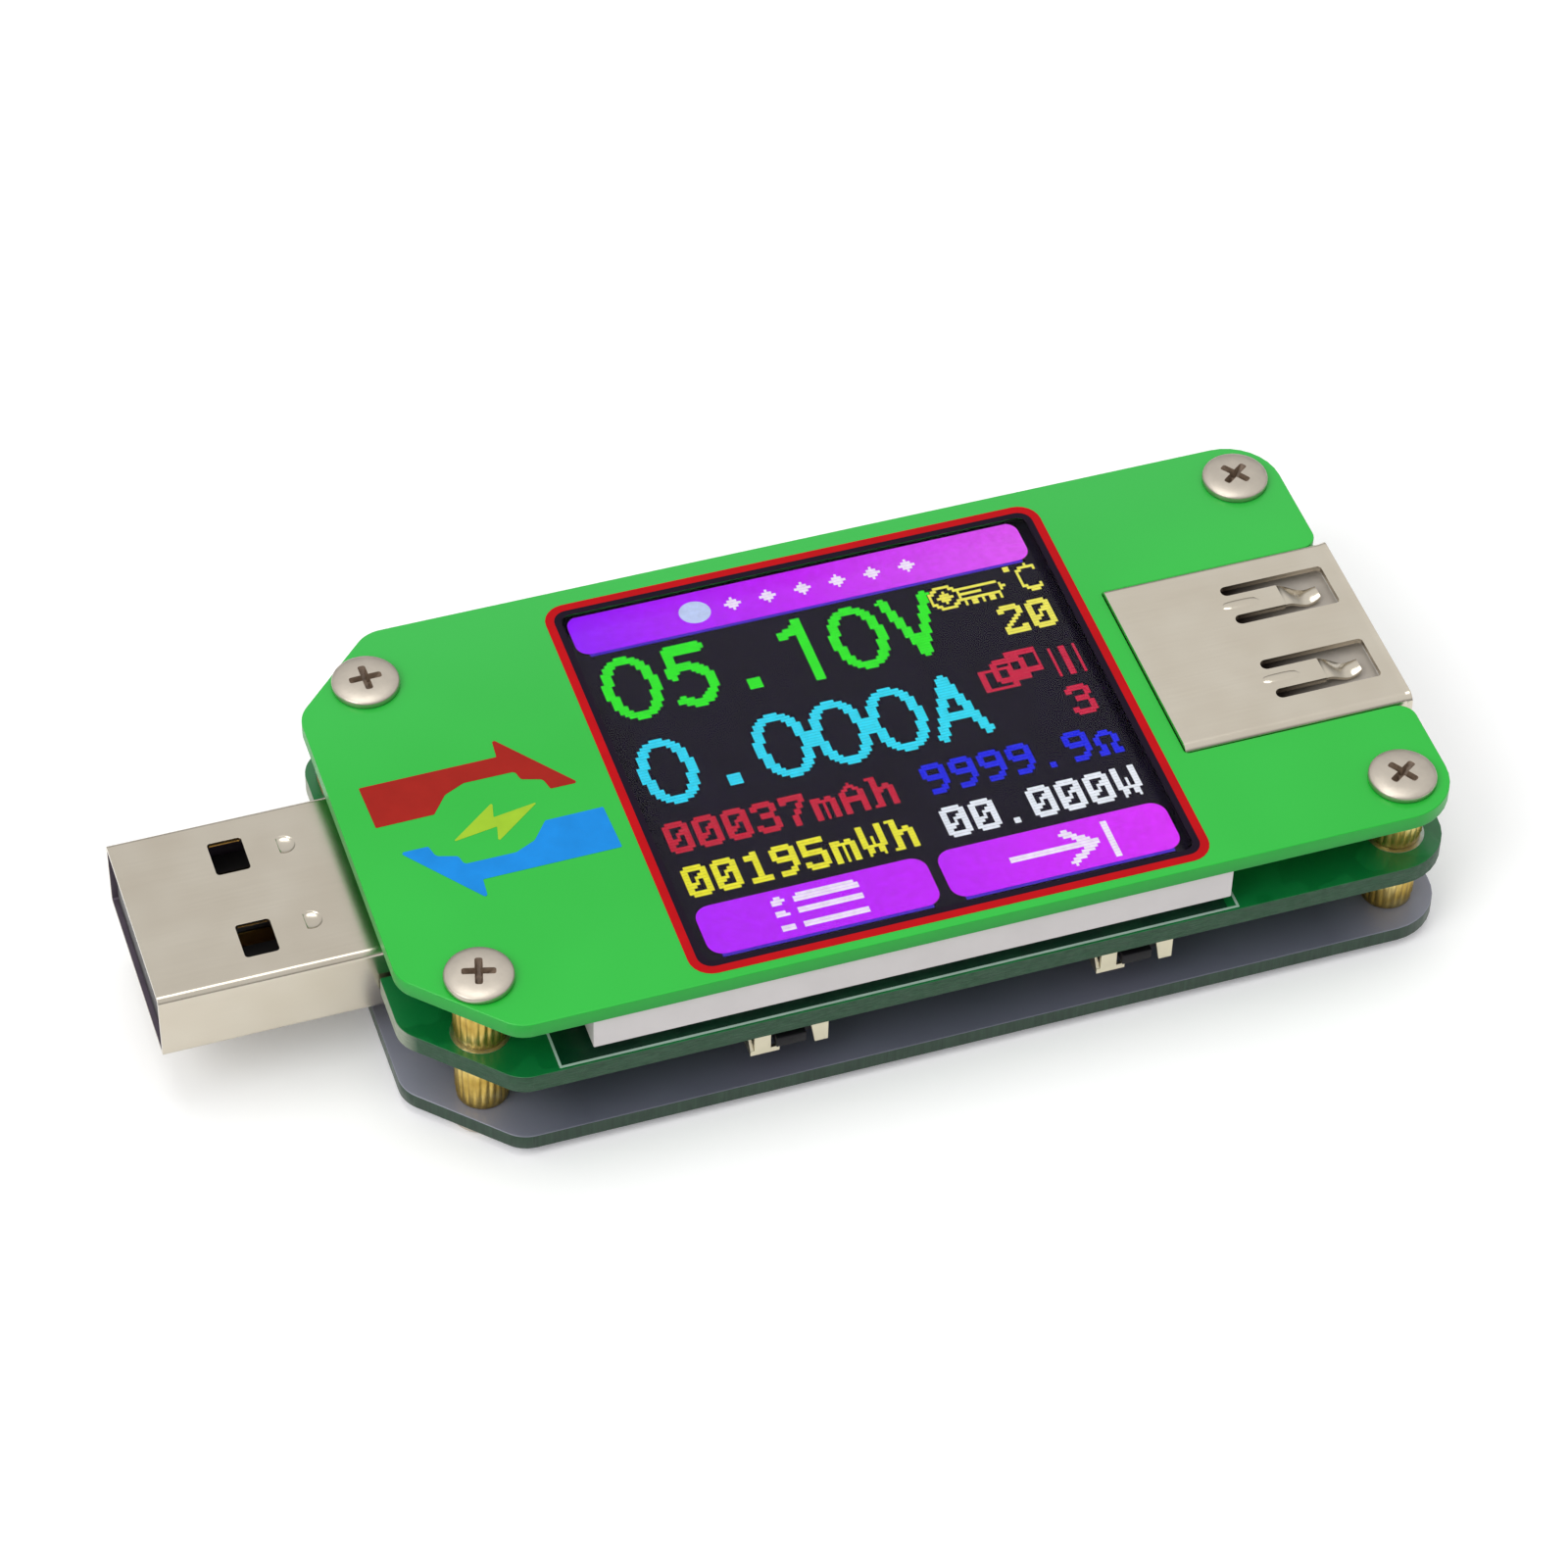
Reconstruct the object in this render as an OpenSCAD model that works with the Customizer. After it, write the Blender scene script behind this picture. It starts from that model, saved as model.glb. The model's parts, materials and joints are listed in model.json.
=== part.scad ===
// USB power meter: a pass-through meter with a USB-A plug at one end, a USB-A
// socket at the other and a colour display between them. A cover sheet, a
// circuit board and a bottom sheet are stacked on brass standoffs.
// The meter rests on its bottom screw heads at z = 0, and the origin is the
// centre of its footprint. +X points to the socket and -Y is the front side.

/* [Plates] */
// Length of the three plates along X
plate_len = 59; // [58:0.5:62]
// Width of the three plates along Y
plate_w = 30.5; // [30.5:0.5:33]
// Thickness of the top and bottom cover sheets
cover_t = 1; // [0.8:0.1:1.2]
// Thickness of the circuit board
board_t = 1.2; // [1:0.1:1.4]
// Size of the 45 degree corners at the plug end
plate_chamfer = 5.2; // [4.4:0.2:6]
// Radius that blends each 45 degree corner
chamfer_blend_r = 2; // [1:0.5:3]
// Corner radius at the socket end
plate_corner_r = 3.1; // [2:0.1:3.4]

/* [Stack] */
// Height of each screw head
head_h = 0.6; // [0.5:0.05:0.9]
// Clear height between the bottom sheet and the board
lower_gap = 3.7; // [3.6:0.1:4.4]
// Clear height between the board and the top sheet
upper_gap = 3.2; // [3.2:0.1:3.6]

/* [Fasteners] */
// Diameter of each screw head
head_d = 3.8; // [3.4:0.1:4]
// Outer diameter of the brass standoffs
standoff_d = 3; // [3:0.1:3.4]
// Radius of the standoffs' bores
bore_r = 1; // [0.95:0.05:1.1]
// Radius of the clearance holes in the plates
hole_r = 1.1; // [1.1:0.05:1.2]
// Distance of the plug-end screws from the plates' end
plug_screw_inset = 4.15; // [4:0.05:4.5]
// Half the distance between the two plug-end screws
plug_screw_y = 11.3; // [11:0.1:11.5]
// Distance of the socket-end screws from the plates' end
socket_screw_inset = 2.7; // [2.6:0.05:3]
// Half the distance between the two socket-end screws
socket_screw_y = 12.4; // [12:0.1:12.6]

/* [USB plug] */
// How far the plug stands out of the plates
plug_out = 12; // [11.75:0.05:12.5]
// Width of the plug's shell
plug_w = 12; // [12:0.05:12.1]
// Height of the plug's shell
plug_h = 4.5; // [4.5:0.05:4.6]
// Wall thickness of the plug's shell
plug_t = 0.3; // [0.28:0.01:0.32]

/* [USB socket] */
// How far the socket's rim stands out of the plates
socket_out = 0.2; // [0.1:0.05:0.5]
// Length of the socket's shell
socket_len = 13.5; // [13.2:0.05:13.6]
// Width of the socket's shell
socket_w = 13.1; // [13:0.05:13.2]
// Height of the socket's shell
socket_h = 5.72; // [5.7:0.02:5.8]
// Wall thickness of the socket's shell
socket_t = 0.35; // [0.3:0.01:0.38]
// Offset of the socket from the centre line
socket_y = -0.5; // [-0.6:0.05:-0.4]
// Width of the slot that the top sheet leaves for the socket
socket_slot_w = 13.35; // [13.3:0.05:14]

/* [Display] */
// Distance from the plates' plug end to the display's frame
display_inset = 9.3; // [9:0.1:9.4]
// Length of the display's frame
display_len = 36.2; // [36:0.1:36.3]
// Width of the display's frame
display_w = 30; // [29.8:0.1:30.4]
// Height of the display's frame
display_h = 2.3; // [2.2:0.05:2.4]

/* [Keys] */
// Distance from the plates' plug end to the first key's centre
key_1_inset = 20.3; // [19.8:0.1:20.8]
// Distance from the plates' plug end to the second key's centre
key_2_inset = 40.15; // [39.6:0.05:40.6]
// Width of each key's switch
switch_w = 4.4; // [4.2:0.1:4.8]
// Height of each key's switch under the board
switch_h = 1.8; // [1.7:0.05:2]

/* [Micro USB inlet] */
// Distance from the plates' plug end to the inlet's centre
inlet_inset = 13.1; // [12.8:0.1:13.6]
// Width of the inlet's shell
inlet_w = 7.5; // [7.4:0.05:7.7]
// Height of the inlet's shell
inlet_h = 2.5; // [2.4:0.05:2.7]
// Depth of the inlet's shell
inlet_len = 5; // [4.8:0.1:5.6]

/* [Hidden] */
$fn = 48;
total_len = plug_out + plate_len + socket_out;
plate_x0 = plug_out - total_len / 2;
plate_x1 = plate_x0 + plate_len;
edge_y = plate_w / 2;

bottom_z0 = head_h;
bottom_z1 = bottom_z0 + cover_t;
board_z0 = bottom_z1 + lower_gap;
board_z1 = board_z0 + board_t;
cover_z0 = board_z1 + upper_gap;
cover_z1 = cover_z0 + cover_t;

screw_places = [
    [plate_x0 + plug_screw_inset, -plug_screw_y, -15],
    [plate_x0 + plug_screw_inset, plug_screw_y, 1],
    [plate_x1 - socket_screw_inset, -socket_screw_y, 33],
    [plate_x1 - socket_screw_inset, socket_screw_y, 36]];
shank_r = bore_r - 0.02;
stud_len = board_t + 1.7;

plug_x0 = -total_len / 2;
plug_rear = 6;
plug_x1 = plate_x0 + plug_rear;
plug_z0 = board_z0 + board_t / 2 - plug_h / 2 + 0.3;
plug_zc = plug_z0 + plug_h / 2;
plug_corner_r = 0.6;
plug_tongue_t = 1.95;
contact_t = 0.15;
pin_places = [-3.5, -1, 1, 3.5];

socket_x1 = total_len / 2;
socket_x0 = socket_x1 - socket_len;
socket_z0 = board_z0;
socket_zc = socket_z0 + socket_h / 2;
socket_corner_r = 0.7;
tongue_t = 1.84;
tongue_z0 = socket_zc + 0.07;
finger_w = 3.05;
finger_places = [-3.325 - socket_y, 2.775 - socket_y];

display_x0 = plate_x0 + display_inset;
display_x1 = display_x0 + display_len;
display_z1 = cover_z0;
display_z0 = display_z1 - display_h;
frame_wall = 0.8;
frame_ledge = 0.5;
ledge_z = display_z0 + 1.05;
glass_t = 0.5;
active_x0 = display_x0 + 5;

key_places = [plate_x0 + key_1_inset, plate_x0 + key_2_inset];
key_zc = board_z0 - 0.8;
key_half_w = 0.85;
key_half_h = 0.35;
fit_gap = 0.06;

inlet_x = plate_x0 + inlet_inset;
inlet_t = 0.25;
inlet_zc = board_z0 - inlet_h / 2;

// Parts under the board: centre x, y and turn of each
mcu_place = [5, 0];
mosfet_places = [[14.5, -7.5], [14.5, 7.5]];
flash_place = [5, 8.6];
amplifier_place = [-10.5, -1.5];
regulator_place = [-2.2, 6.4];
sensor_place = [-14.8, 3];
shunt_place = [-12, -8];
inductor_place = [-3, -6];
crystal_place = [5, -7.6];
tantalum_places = [[-8.6, 6.4, 0], [19, 0, 90]];
capacitor_places = [
    [-6.2, -0.4, 90], [-6.2, 2.2, 90], [-0.9, -1.8, 90], [-0.9, 1.2, 90],
    [10.8, -2.4, 90], [10.8, 0.2, 90], [10.8, 2.8, 90], [8.6, -7.6, 90],
    [1.4, -7.6, 90], [14.5, -2.4, 0], [14.5, 2.4, 0], [19, -5.4, 0],
    [19, 5.4, 0], [-14.6, -2.6, 90], [-7, -8.6, 90]];
resistor_places = [
    [-6.2, -4, 0], [-8.4, 2.2, 90], [-9.8, 2.2, 90], [-11.2, 2.2, 90],
    [9.6, 5.6, 0], [9.6, 7.2, 0], [9.6, 8.8, 0], [9.6, 10.4, 0],
    [0.4, -10.4, 0], [2.8, -10.4, 0], [5.2, -10.4, 0], [7.6, -10.4, 0],
    [18.6, -8.4, 90], [18.6, -10.6, 90], [18.6, 8.4, 90], [18.6, 10.6, 90]];
// Parts on top of the board, beside the plug and the socket
top_capacitor_places = [[-22.4, 8.3, 90], [27, 10.4, 0]];

// ---- Shared shapes ----

// Points of an arc about a centre, from angle a0 to angle a1
function arc(cx, cy, r, a0, a1, steps = 8) =
    [for (i = [0:steps])
        let (a = a0 + (a1 - a0) * i / steps) [cx + r * cos(a), cy + r * sin(a)]];

// Points of a rectangle with round corners
function round_rect(cx, cy, w, h, r) = concat(
    arc(cx + w / 2 - r, cy + h / 2 - r, r, 0, 90),
    arc(cx - w / 2 + r, cy + h / 2 - r, r, 90, 180),
    arc(cx - w / 2 + r, cy - h / 2 + r, r, 180, 270),
    arc(cx + w / 2 - r, cy - h / 2 + r, r, 270, 360));

// Box between two opposite corners
module block(low, high) {
    translate(low) cube(high - low);
}

// Profile in the YZ plane, carried from x0 to x1
module along_x(x0, x1) {
    translate([x0, 0, 0]) rotate([90, 0, 90]) linear_extrude(x1 - x0) children();
}

// Profile in the XZ plane, carried from y0 to y1
module along_y(y0, y1) {
    translate([0, y1, 0]) rotate([90, 0, 0]) linear_extrude(y1 - y0) children();
}

// Outline that the three plates share
module plate_outline() {
    r = chamfer_blend_r;
    run = r * tan(22.5);
    x_cut = plate_x0 + plate_chamfer + run;
    y_cut = edge_y - plate_chamfer - run;
    x_end = plate_x1 - plate_corner_r;
    y_end = edge_y - plate_corner_r;
    polygon(concat(
        arc(plate_x0 + r, -y_cut, r, 180, 225, 4),
        arc(x_cut, -edge_y + r, r, 225, 270, 4),
        arc(x_end, -y_end, plate_corner_r, 270, 360, 12),
        arc(x_end, y_end, plate_corner_r, 0, 90, 12),
        arc(x_cut, edge_y - r, r, 90, 135, 4),
        arc(plate_x0 + r, y_cut, r, 135, 180, 4)));
}

// Slot from the socket end, with round corners where it opens
module socket_slot(x_start, w, mouth_r) {
    low = socket_y - w / 2;
    high = socket_y + w / 2;
    past = plate_x1 + 1;
    polygon(concat(
        [[x_start, low]],
        arc(plate_x1 - mouth_r, low - mouth_r, mouth_r, 90, 0, 6),
        [[past, low - mouth_r], [past, high + mouth_r]],
        arc(plate_x1 - mouth_r, high + mouth_r, mouth_r, 0, -90, 6),
        [[x_start, high]]));
}

// Cover or board: the shared outline with its four screw holes
module plate(z0, t, hole) {
    difference() {
        translate([0, 0, z0]) linear_extrude(t) plate_outline();
        for (place = screw_places)
            translate([place[0], place[1], z0 - 1]) cylinder(r = hole, h = t + 2);
    }
}

// ---- Plates ----

module top_cover() color("limegreen") {
    difference() {
        plate(cover_z0, cover_t, hole_r);
        translate([0, 0, cover_z0 - 1]) linear_extrude(cover_t + 2)
            socket_slot(socket_x0 - 0.1, socket_slot_w, 1);
    }
}

module bottom_cover() color("darkslategray") {
    plate(bottom_z0, cover_t, hole_r);
}

module main_board() color("darkgreen") {
    difference() {
        plate(board_z0, board_t, hole_r);
        translate([0, 0, board_z0 - 1]) linear_extrude(board_t + 2)
            socket_slot(socket_x0 - 0.15, socket_w + 0.3, 0.5);
        block([plate_x0 - 1, -plug_w / 2 - 0.15, board_z0 - 1],
              [plug_x1 + 0.2, plug_w / 2 + 0.15, board_z1 + 1]);
    }
}

// ---- Standoffs and screws ----

// Straight spacer with small bevels on its rims, and an optional stud below it
module standoff(z0, h, stud) {
    r = standoff_d / 2;
    bevel = 0.15;
    blind = stud > 0 ? 0.4 : -0.1;
    difference() {
        union() {
            translate([0, 0, z0]) rotate_extrude()
                polygon([[0, 0], [r - bevel, 0], [r, bevel], [r, h - bevel], [r - bevel, h], [0, h]]);
            if (stud > 0) translate([0, 0, z0 - stud]) cylinder(r = shank_r, h = stud);
        }
        translate([0, 0, z0 + blind]) cylinder(r = bore_r, h = h + 1);
    }
}

// Cross-head screw with its head on z = 0, the shank going down
module cross_screw(shank_len) {
    r = head_d / 2;
    flat_r = 1;
    dome_r = 4.6;
    a_rim = asin(r / dome_r);
    a_flat = asin(flat_r / dome_r);
    dome_z = head_h - dome_r * cos(a_flat);
    difference() {
        rotate_extrude() polygon(concat(
            [[0, -shank_len], [shank_r - 0.2, -shank_len], [shank_r, 0.2 - shank_len],
             [shank_r, 0], [r - 0.08, 0], [r, 0.08]],
            arc(0, dome_z, dome_r, 90 - a_rim, 90 - a_flat, 5),
            [[0, head_h]]));
        for (turn = [0, 90]) rotate([0, 0, turn])
            block([-0.97, -0.24, head_h - 0.6], [0.97, 0.24, head_h + 1]);
    }
}

module upper_standoffs() color("darkgoldenrod") {
    for (place = screw_places)
        translate([place[0], place[1], 0]) standoff(board_z1, upper_gap, stud_len);
}

module lower_standoffs() color("darkgoldenrod") {
    for (place = screw_places)
        translate([place[0], place[1], 0]) standoff(bottom_z1, lower_gap, 0);
}

module top_screws() color("silver") {
    for (place = screw_places)
        translate([place[0], place[1], cover_z1]) rotate([0, 0, place[2]])
            cross_screw(cover_t + upper_gap - 0.7);
}

module bottom_screws() color("silver") {
    for (place = screw_places)
        translate([place[0], place[1], bottom_z0]) rotate([180, 0, place[2]])
            cross_screw(cover_t + 1.6);
}

// ---- USB plug ----

module usb_plug_shell() color("antiquewhite") {
    window_x = plug_x0 + 5.2;
    ear_x = plug_x1 - 3.6;
    difference() {
        union() {
            along_x(plug_x0, plug_x1)
                polygon(round_rect(0, plug_zc, plug_w, plug_h, plug_corner_r));
            block([ear_x, -plug_w / 2 - 1.4, board_z1], [ear_x + 2, plug_w / 2 + 1.4, board_z1 + plug_t]);
        }
        along_x(plug_x0 - 1, plug_x1 + 1)
            polygon(round_rect(0, plug_zc, plug_w - 2 * plug_t, plug_h - 2 * plug_t,
                               plug_corner_r - plug_t / 2));
        for (side = [-1, 1])
            block([window_x, side * 3.1 - 1.2, plug_z0 - 1], [window_x + 1.9, side * 3.1 + 1.2, plug_z0 + plug_h + 1]);
    }
}

// Tongue below the plug's contacts, and the block that fills its rear
module usb_plug_insulator() color("dimgray") {
    inner_w = plug_w - 2 * plug_t - 0.1;
    inner_z0 = plug_z0 + plug_t + 0.03;
    block_x0 = plate_x0 - 1.4;
    tongue_top = inner_z0 + plug_tongue_t;
    difference() {
        union() {
            block([plug_x0 + 0.3, -inner_w / 2 + 0.3, inner_z0], [block_x0, inner_w / 2 - 0.3, tongue_top]);
            along_x(block_x0, plug_x1)
                polygon(round_rect(0, plug_zc, inner_w, plug_h - 2 * plug_t - 0.06, 0.4));
        }
        for (y = pin_places)
            block([plug_x0 - 1, y - 0.55, tongue_top - 0.2], [plug_x1 + 1, y + 0.55, board_z1 + 0.3]);
    }
}

module usb_plug_contacts() color("gold") {
    seat = plug_z0 + plug_t + 0.03 + plug_tongue_t - 0.2;
    bend_x = plate_x0 + 2;
    top = board_z1;
    for (y = pin_places) {
        x_front = plug_x0 + (abs(y) > 2 ? 1 : 2);
        along_y(y - 0.5, y + 0.5)
            polygon([[x_front, seat], [bend_x, seat], [bend_x + 0.6, top], [plug_x1 + 1.4, top],
                     [plug_x1 + 1.4, top + contact_t], [bend_x + 0.5, top + contact_t],
                     [bend_x - 0.1, seat + contact_t], [x_front, seat + contact_t]]);
    }
}

// ---- USB socket ----

// Spring finger in the shell's roof: it bends down and turns up again at its tip
module spring_finger(x_root, z_roof) {
    t = socket_t - 0.1;
    x_bend = x_root + 3.2;
    x_low = x_bend + 1.5;
    x_tip = x_low + 0.7;
    drop = 0.62;
    along_y(-0.8, 0.8)
        polygon([[x_root - 0.1, z_roof], [x_bend, z_roof], [x_low, z_roof - drop], [x_tip, z_roof - 0.4],
                 [x_tip, z_roof - 0.4 - t], [x_low, z_roof - drop - t], [x_bend, z_roof - t],
                 [x_root - 0.1, z_roof - t]]);
}

module usb_socket_shell() color("antiquewhite") {
    window_x0 = plate_x1 - 7;
    window_x1 = plate_x1 - 0.8;
    roof = socket_z0 + socket_h;
    inner = [socket_w - 2 * socket_t, socket_h - 2 * socket_t];
    lip = 0.15;
    ear_x = socket_x0 + 2.2;
    difference() {
        union() {
            along_x(socket_x0, socket_x1)
                polygon(round_rect(socket_y, socket_zc, socket_w, socket_h, socket_corner_r));
            along_x(socket_x1 - 0.45, socket_x1)
                polygon(round_rect(socket_y, socket_zc, socket_w + 2 * lip, socket_h + 2 * lip,
                                   socket_corner_r + lip));
            block([ear_x, socket_y - socket_w / 2 - 1.5, board_z1],
                  [ear_x + 2, socket_y + socket_w / 2 + 1.5, board_z1 + socket_t]);
        }
        along_x(socket_x0 - 1, socket_x1 + 1)
            polygon(round_rect(socket_y, socket_zc, inner[0], inner[1], socket_corner_r - socket_t / 2));
        for (y = finger_places)
            block([window_x0, socket_y + y - finger_w / 2, socket_z0 - 1],
                  [window_x1, socket_y + y + finger_w / 2, roof + 1]);
    }
    for (y = finger_places) translate([0, socket_y + y, 0]) {
        spring_finger(window_x0, roof);
        translate([0, 0, 2 * socket_zc]) mirror([0, 0, 1]) spring_finger(window_x0, roof);
    }
}

// Tongue above the socket's contacts, and the block that closes its rear
module usb_socket_insulator() color("whitesmoke") {
    inner_w = socket_w - 2 * socket_t - 0.1;
    block_x1 = socket_x0 + 2.7;
    difference() {
        union() {
            block([block_x1 - 0.1, socket_y - 5.5, tongue_z0], [socket_x1 - 0.7, socket_y + 5.5, tongue_z0 + tongue_t]);
            along_x(socket_x0 + 0.15, block_x1)
                polygon(round_rect(socket_y, socket_zc, inner_w, socket_h - 2 * socket_t - 0.06, 0.5));
        }
        for (y = pin_places)
            block([socket_x0 - 1, socket_y + y - 0.55, board_z1 - 0.05],
                  [block_x1 + 1, socket_y + y + 0.55, tongue_z0]);
    }
}

module usb_socket_contacts() color("gold") {
    t = 0.18;
    x_tip = socket_x1 - 1.8;
    x_drop = socket_x0 + 1;
    x_tail = socket_x0 - 1.2;
    for (y = pin_places)
        translate([0, socket_y + y, 0]) along_y(-0.5, 0.5)
            polygon([[x_tip, tongue_z0], [x_drop, tongue_z0], [x_drop, board_z1 + t], [x_tail, board_z1 + t],
                     [x_tail, board_z1], [x_drop + t, board_z1], [x_drop + t, tongue_z0 - t],
                     [x_tip, tongue_z0 - t]]);
}

// ---- Micro USB inlet, under the board on the rear side ----

// Section of the inlet: a flat box whose two lower corners are cut off
module inlet_section(shrink) {
    w = inlet_w / 2 - shrink;
    h = inlet_h / 2 - shrink;
    polygon([[inlet_x - w, inlet_zc + h], [inlet_x - w, inlet_zc - h * 0.1], [inlet_x - w + 1.1, inlet_zc - h],
             [inlet_x + w - 1.1, inlet_zc - h], [inlet_x + w, inlet_zc - h * 0.1], [inlet_x + w, inlet_zc + h]]);
}

module micro_usb_shell() color("silver") {
    difference() {
        along_y(edge_y - inlet_len, edge_y) inlet_section(0);
        along_y(edge_y - inlet_len - 1, edge_y + 1) inlet_section(inlet_t);
    }
}

module micro_usb_insulator() color("dimgray") {
    block_y = edge_y - inlet_len + 1.4;
    along_y(edge_y - inlet_len + 0.1, block_y) inlet_section(inlet_t + 0.02);
    block([inlet_x - 1.75, block_y - 0.1, inlet_zc - 0.25], [inlet_x + 1.75, edge_y - 0.9, inlet_zc + 0.25]);
}

module micro_usb_contacts() color("gold") {
    for (i = [-2:2]) translate([inlet_x + i * 0.65, 0, 0]) {
        block([-0.15, edge_y - inlet_len + 1.4, inlet_zc - 0.33], [0.15, edge_y - 1.2, inlet_zc - 0.25]);
        block([-0.15, edge_y - inlet_len - 0.9, board_z0 - 0.12], [0.15, edge_y - inlet_len + 0.1, board_z0]);
    }
}

// ---- Display ----

module display_frame() color("gainsboro") {
    x0 = display_x0 + frame_wall;
    x1 = display_x1 - frame_wall;
    y1 = display_w / 2 - frame_wall;
    difference() {
        block([display_x0, -display_w / 2, display_z0], [display_x1, display_w / 2, display_z1]);
        block([x0, -y1, ledge_z], [x1, y1, display_z1 + 1]);
        block([x0 + frame_ledge, -y1 + frame_ledge, display_z0 - 1],
              [x1 - frame_ledge, y1 - frame_ledge, display_z1 + 1]);
        block([display_x0 - 1, -6.8, ledge_z + glass_t - 0.1], [x0 + 1, 6.8, display_z1 + 1]);
    }
}

// Layer of the display, inset from the frame's pocket
module display_layer(x0, inset, z0, t) {
    side = frame_wall + inset;
    block([x0, -display_w / 2 + side, z0], [display_x1 - side, display_w / 2 - side, z0 + t]);
}

module display_reflector() color("white") {
    display_layer(display_x0 + frame_wall + frame_ledge + 0.1, frame_ledge + 0.1, display_z0 + 0.02, 0.15);
}

module display_light_guide() color("lightcyan") {
    display_layer(display_x0 + 2.8, frame_ledge + 0.1, display_z0 + 0.2, 0.65);
}

module display_leds() color("lightyellow") {
    x0 = display_x0 + frame_wall + frame_ledge + 0.2;
    for (y = [-7.5, -2.5, 2.5, 7.5])
        block([x0, y - 1.5, display_z0 + 0.2], [x0 + 1.1, y + 1.5, display_z0 + 0.8]);
}

module display_rear_glass() color("darkslateblue") {
    display_layer(display_x0 + frame_wall + 0.1, 0.1, ledge_z, glass_t);
}

module display_front_glass() color("midnightblue") {
    display_layer(active_x0 - 0.4, 0.1, ledge_z + glass_t, glass_t);
}

module display_polariser() color("black") {
    display_layer(active_x0 - 0.2, 0.3, ledge_z + 2 * glass_t, 0.2);
}

module display_driver_chip() color("dimgray") {
    x0 = display_x0 + 2.6;
    block([x0, -6, ledge_z + glass_t], [x0 + 1.3, 6, ledge_z + glass_t + 0.35]);
}

// Flexible tail: off the glass, round the frame's end and onto the board
module display_flex() color("chocolate") {
    t = 0.12;
    top = ledge_z + glass_t;
    low = board_z1;
    mid = (top + low) / 2 + t / 2;
    r = mid - low;
    x_turn = display_x0 - 0.2;
    along_y(-6, 6) polygon(concat(
        [[display_x0 + 2.2, top], [display_x0 + 2.2, top + t]],
        arc(x_turn, mid, r, 90, 270, 12),
        [[display_x0 + 3.4, low], [display_x0 + 3.4, low + t]],
        arc(x_turn, mid, r - t, 270, 90, 12)));
}

module display_foam_pads() color("dimgray") {
    for (side = [-1, 1]) translate([0, side * 12, 0])
        block([display_x0 + 3, -1, board_z1], [display_x1 - 3, 1, display_z0]);
}

// ---- Keys ----

// Runs its children at all four switches, with local -Y facing out of the plates
module at_switches() {
    for (x = key_places) {
        translate([x, -edge_y, 0]) children();
        translate([x, edge_y, 0]) mirror([0, 1, 0]) children();
    }
}

// Plunger with a flange that its housing's lip holds in
module plunger() {
    block([-key_half_w, 0, key_zc - key_half_h], [key_half_w, 1.7, key_zc + key_half_h]);
    block([-key_half_w - 0.12, 1.32, key_zc - key_half_h - 0.12],
          [key_half_w + 0.12, 1.7, key_zc + key_half_h + 0.12]);
}

module front_left_button() color("black") {
    translate([key_places[0], -edge_y, 0]) plunger();
}

module front_right_button() color("black") {
    translate([key_places[1], -edge_y, 0]) plunger();
}

module rear_left_button() color("black") {
    translate([key_places[0], edge_y, 0]) mirror([0, 1, 0]) plunger();
}

module rear_right_button() color("black") {
    translate([key_places[1], edge_y, 0]) mirror([0, 1, 0]) plunger();
}

module switch_housings() color("dimgray") {
    w = switch_w / 2 - 0.3;
    mouth_w = key_half_w + fit_gap;
    mouth_h = key_half_h + fit_gap;
    at_switches() difference() {
        block([-w, 1.05, board_z0 - switch_h + 0.25], [w, 3.2, board_z0]);
        block([-mouth_w, 0, key_zc - mouth_h], [mouth_w, 1.3, key_zc + mouth_h]);
        block([-mouth_w - 0.12, 1.25, key_zc - mouth_h - 0.12], [mouth_w + 0.12, 2.45, key_zc + mouth_h + 0.12]);
    }
}

// Bent sheet that holds a switch down: a bottom, two sides and two front legs
module switch_brackets() color("silver") {
    t = 0.2;
    w = switch_w / 2;
    z0 = board_z0 - switch_h;
    at_switches() {
        block([-w, 1.3, z0], [w, 2.9, z0 + t]);
        for (side = [-1, 1]) translate([side * (w - t / 2), 0, 0]) rotate([0, 0, 90]) along_y(-t / 2, t / 2)
            polygon([[0.35, z0], [2.9, z0], [2.9, board_z0], [1.35, board_z0], [0.35, z0 + 0.3]]);
        block([-w + 0.22, 0.35, z0], [-w + 1.15, 0.35 + t, board_z0]);
        block([-w, 0.35, z0], [-w + 1.65, 0.35 + t, z0 + 0.35]);
        along_y(0.35, 0.35 + t)
            polygon([[w - 1.05, board_z0], [w - 0.75, z0], [w, z0], [w, board_z0]]);
    }
}

module switch_domes() color("silver") {
    at_switches() translate([0, 2.45, key_zc]) rotate([90, 0, 0])
        cylinder(r1 = 0.45, r2 = 0.25, h = 0.3);
}

module switch_terminals() color("silver") {
    at_switches() for (side = [-1, 1]) translate([side * (switch_w / 2 + 0.3), 0, 0])
        block([-0.3, 2.1, board_z0 - 0.15], [0.3, 2.8, board_z0]);
}

// ---- Chips under the board ----

// Box that hangs from the board, with its corner edges cut
module package(place, w, d, h, lift = 0.1) {
    c = 0.15;
    translate([place[0], place[1], board_z0 - lift - h]) linear_extrude(h)
        polygon([[c - w / 2, -d / 2], [w / 2 - c, -d / 2], [w / 2, c - d / 2], [w / 2, d / 2 - c],
                 [w / 2 - c, d / 2], [c - w / 2, d / 2], [-w / 2, d / 2 - c], [-w / 2, c - d / 2]]);
}

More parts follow.
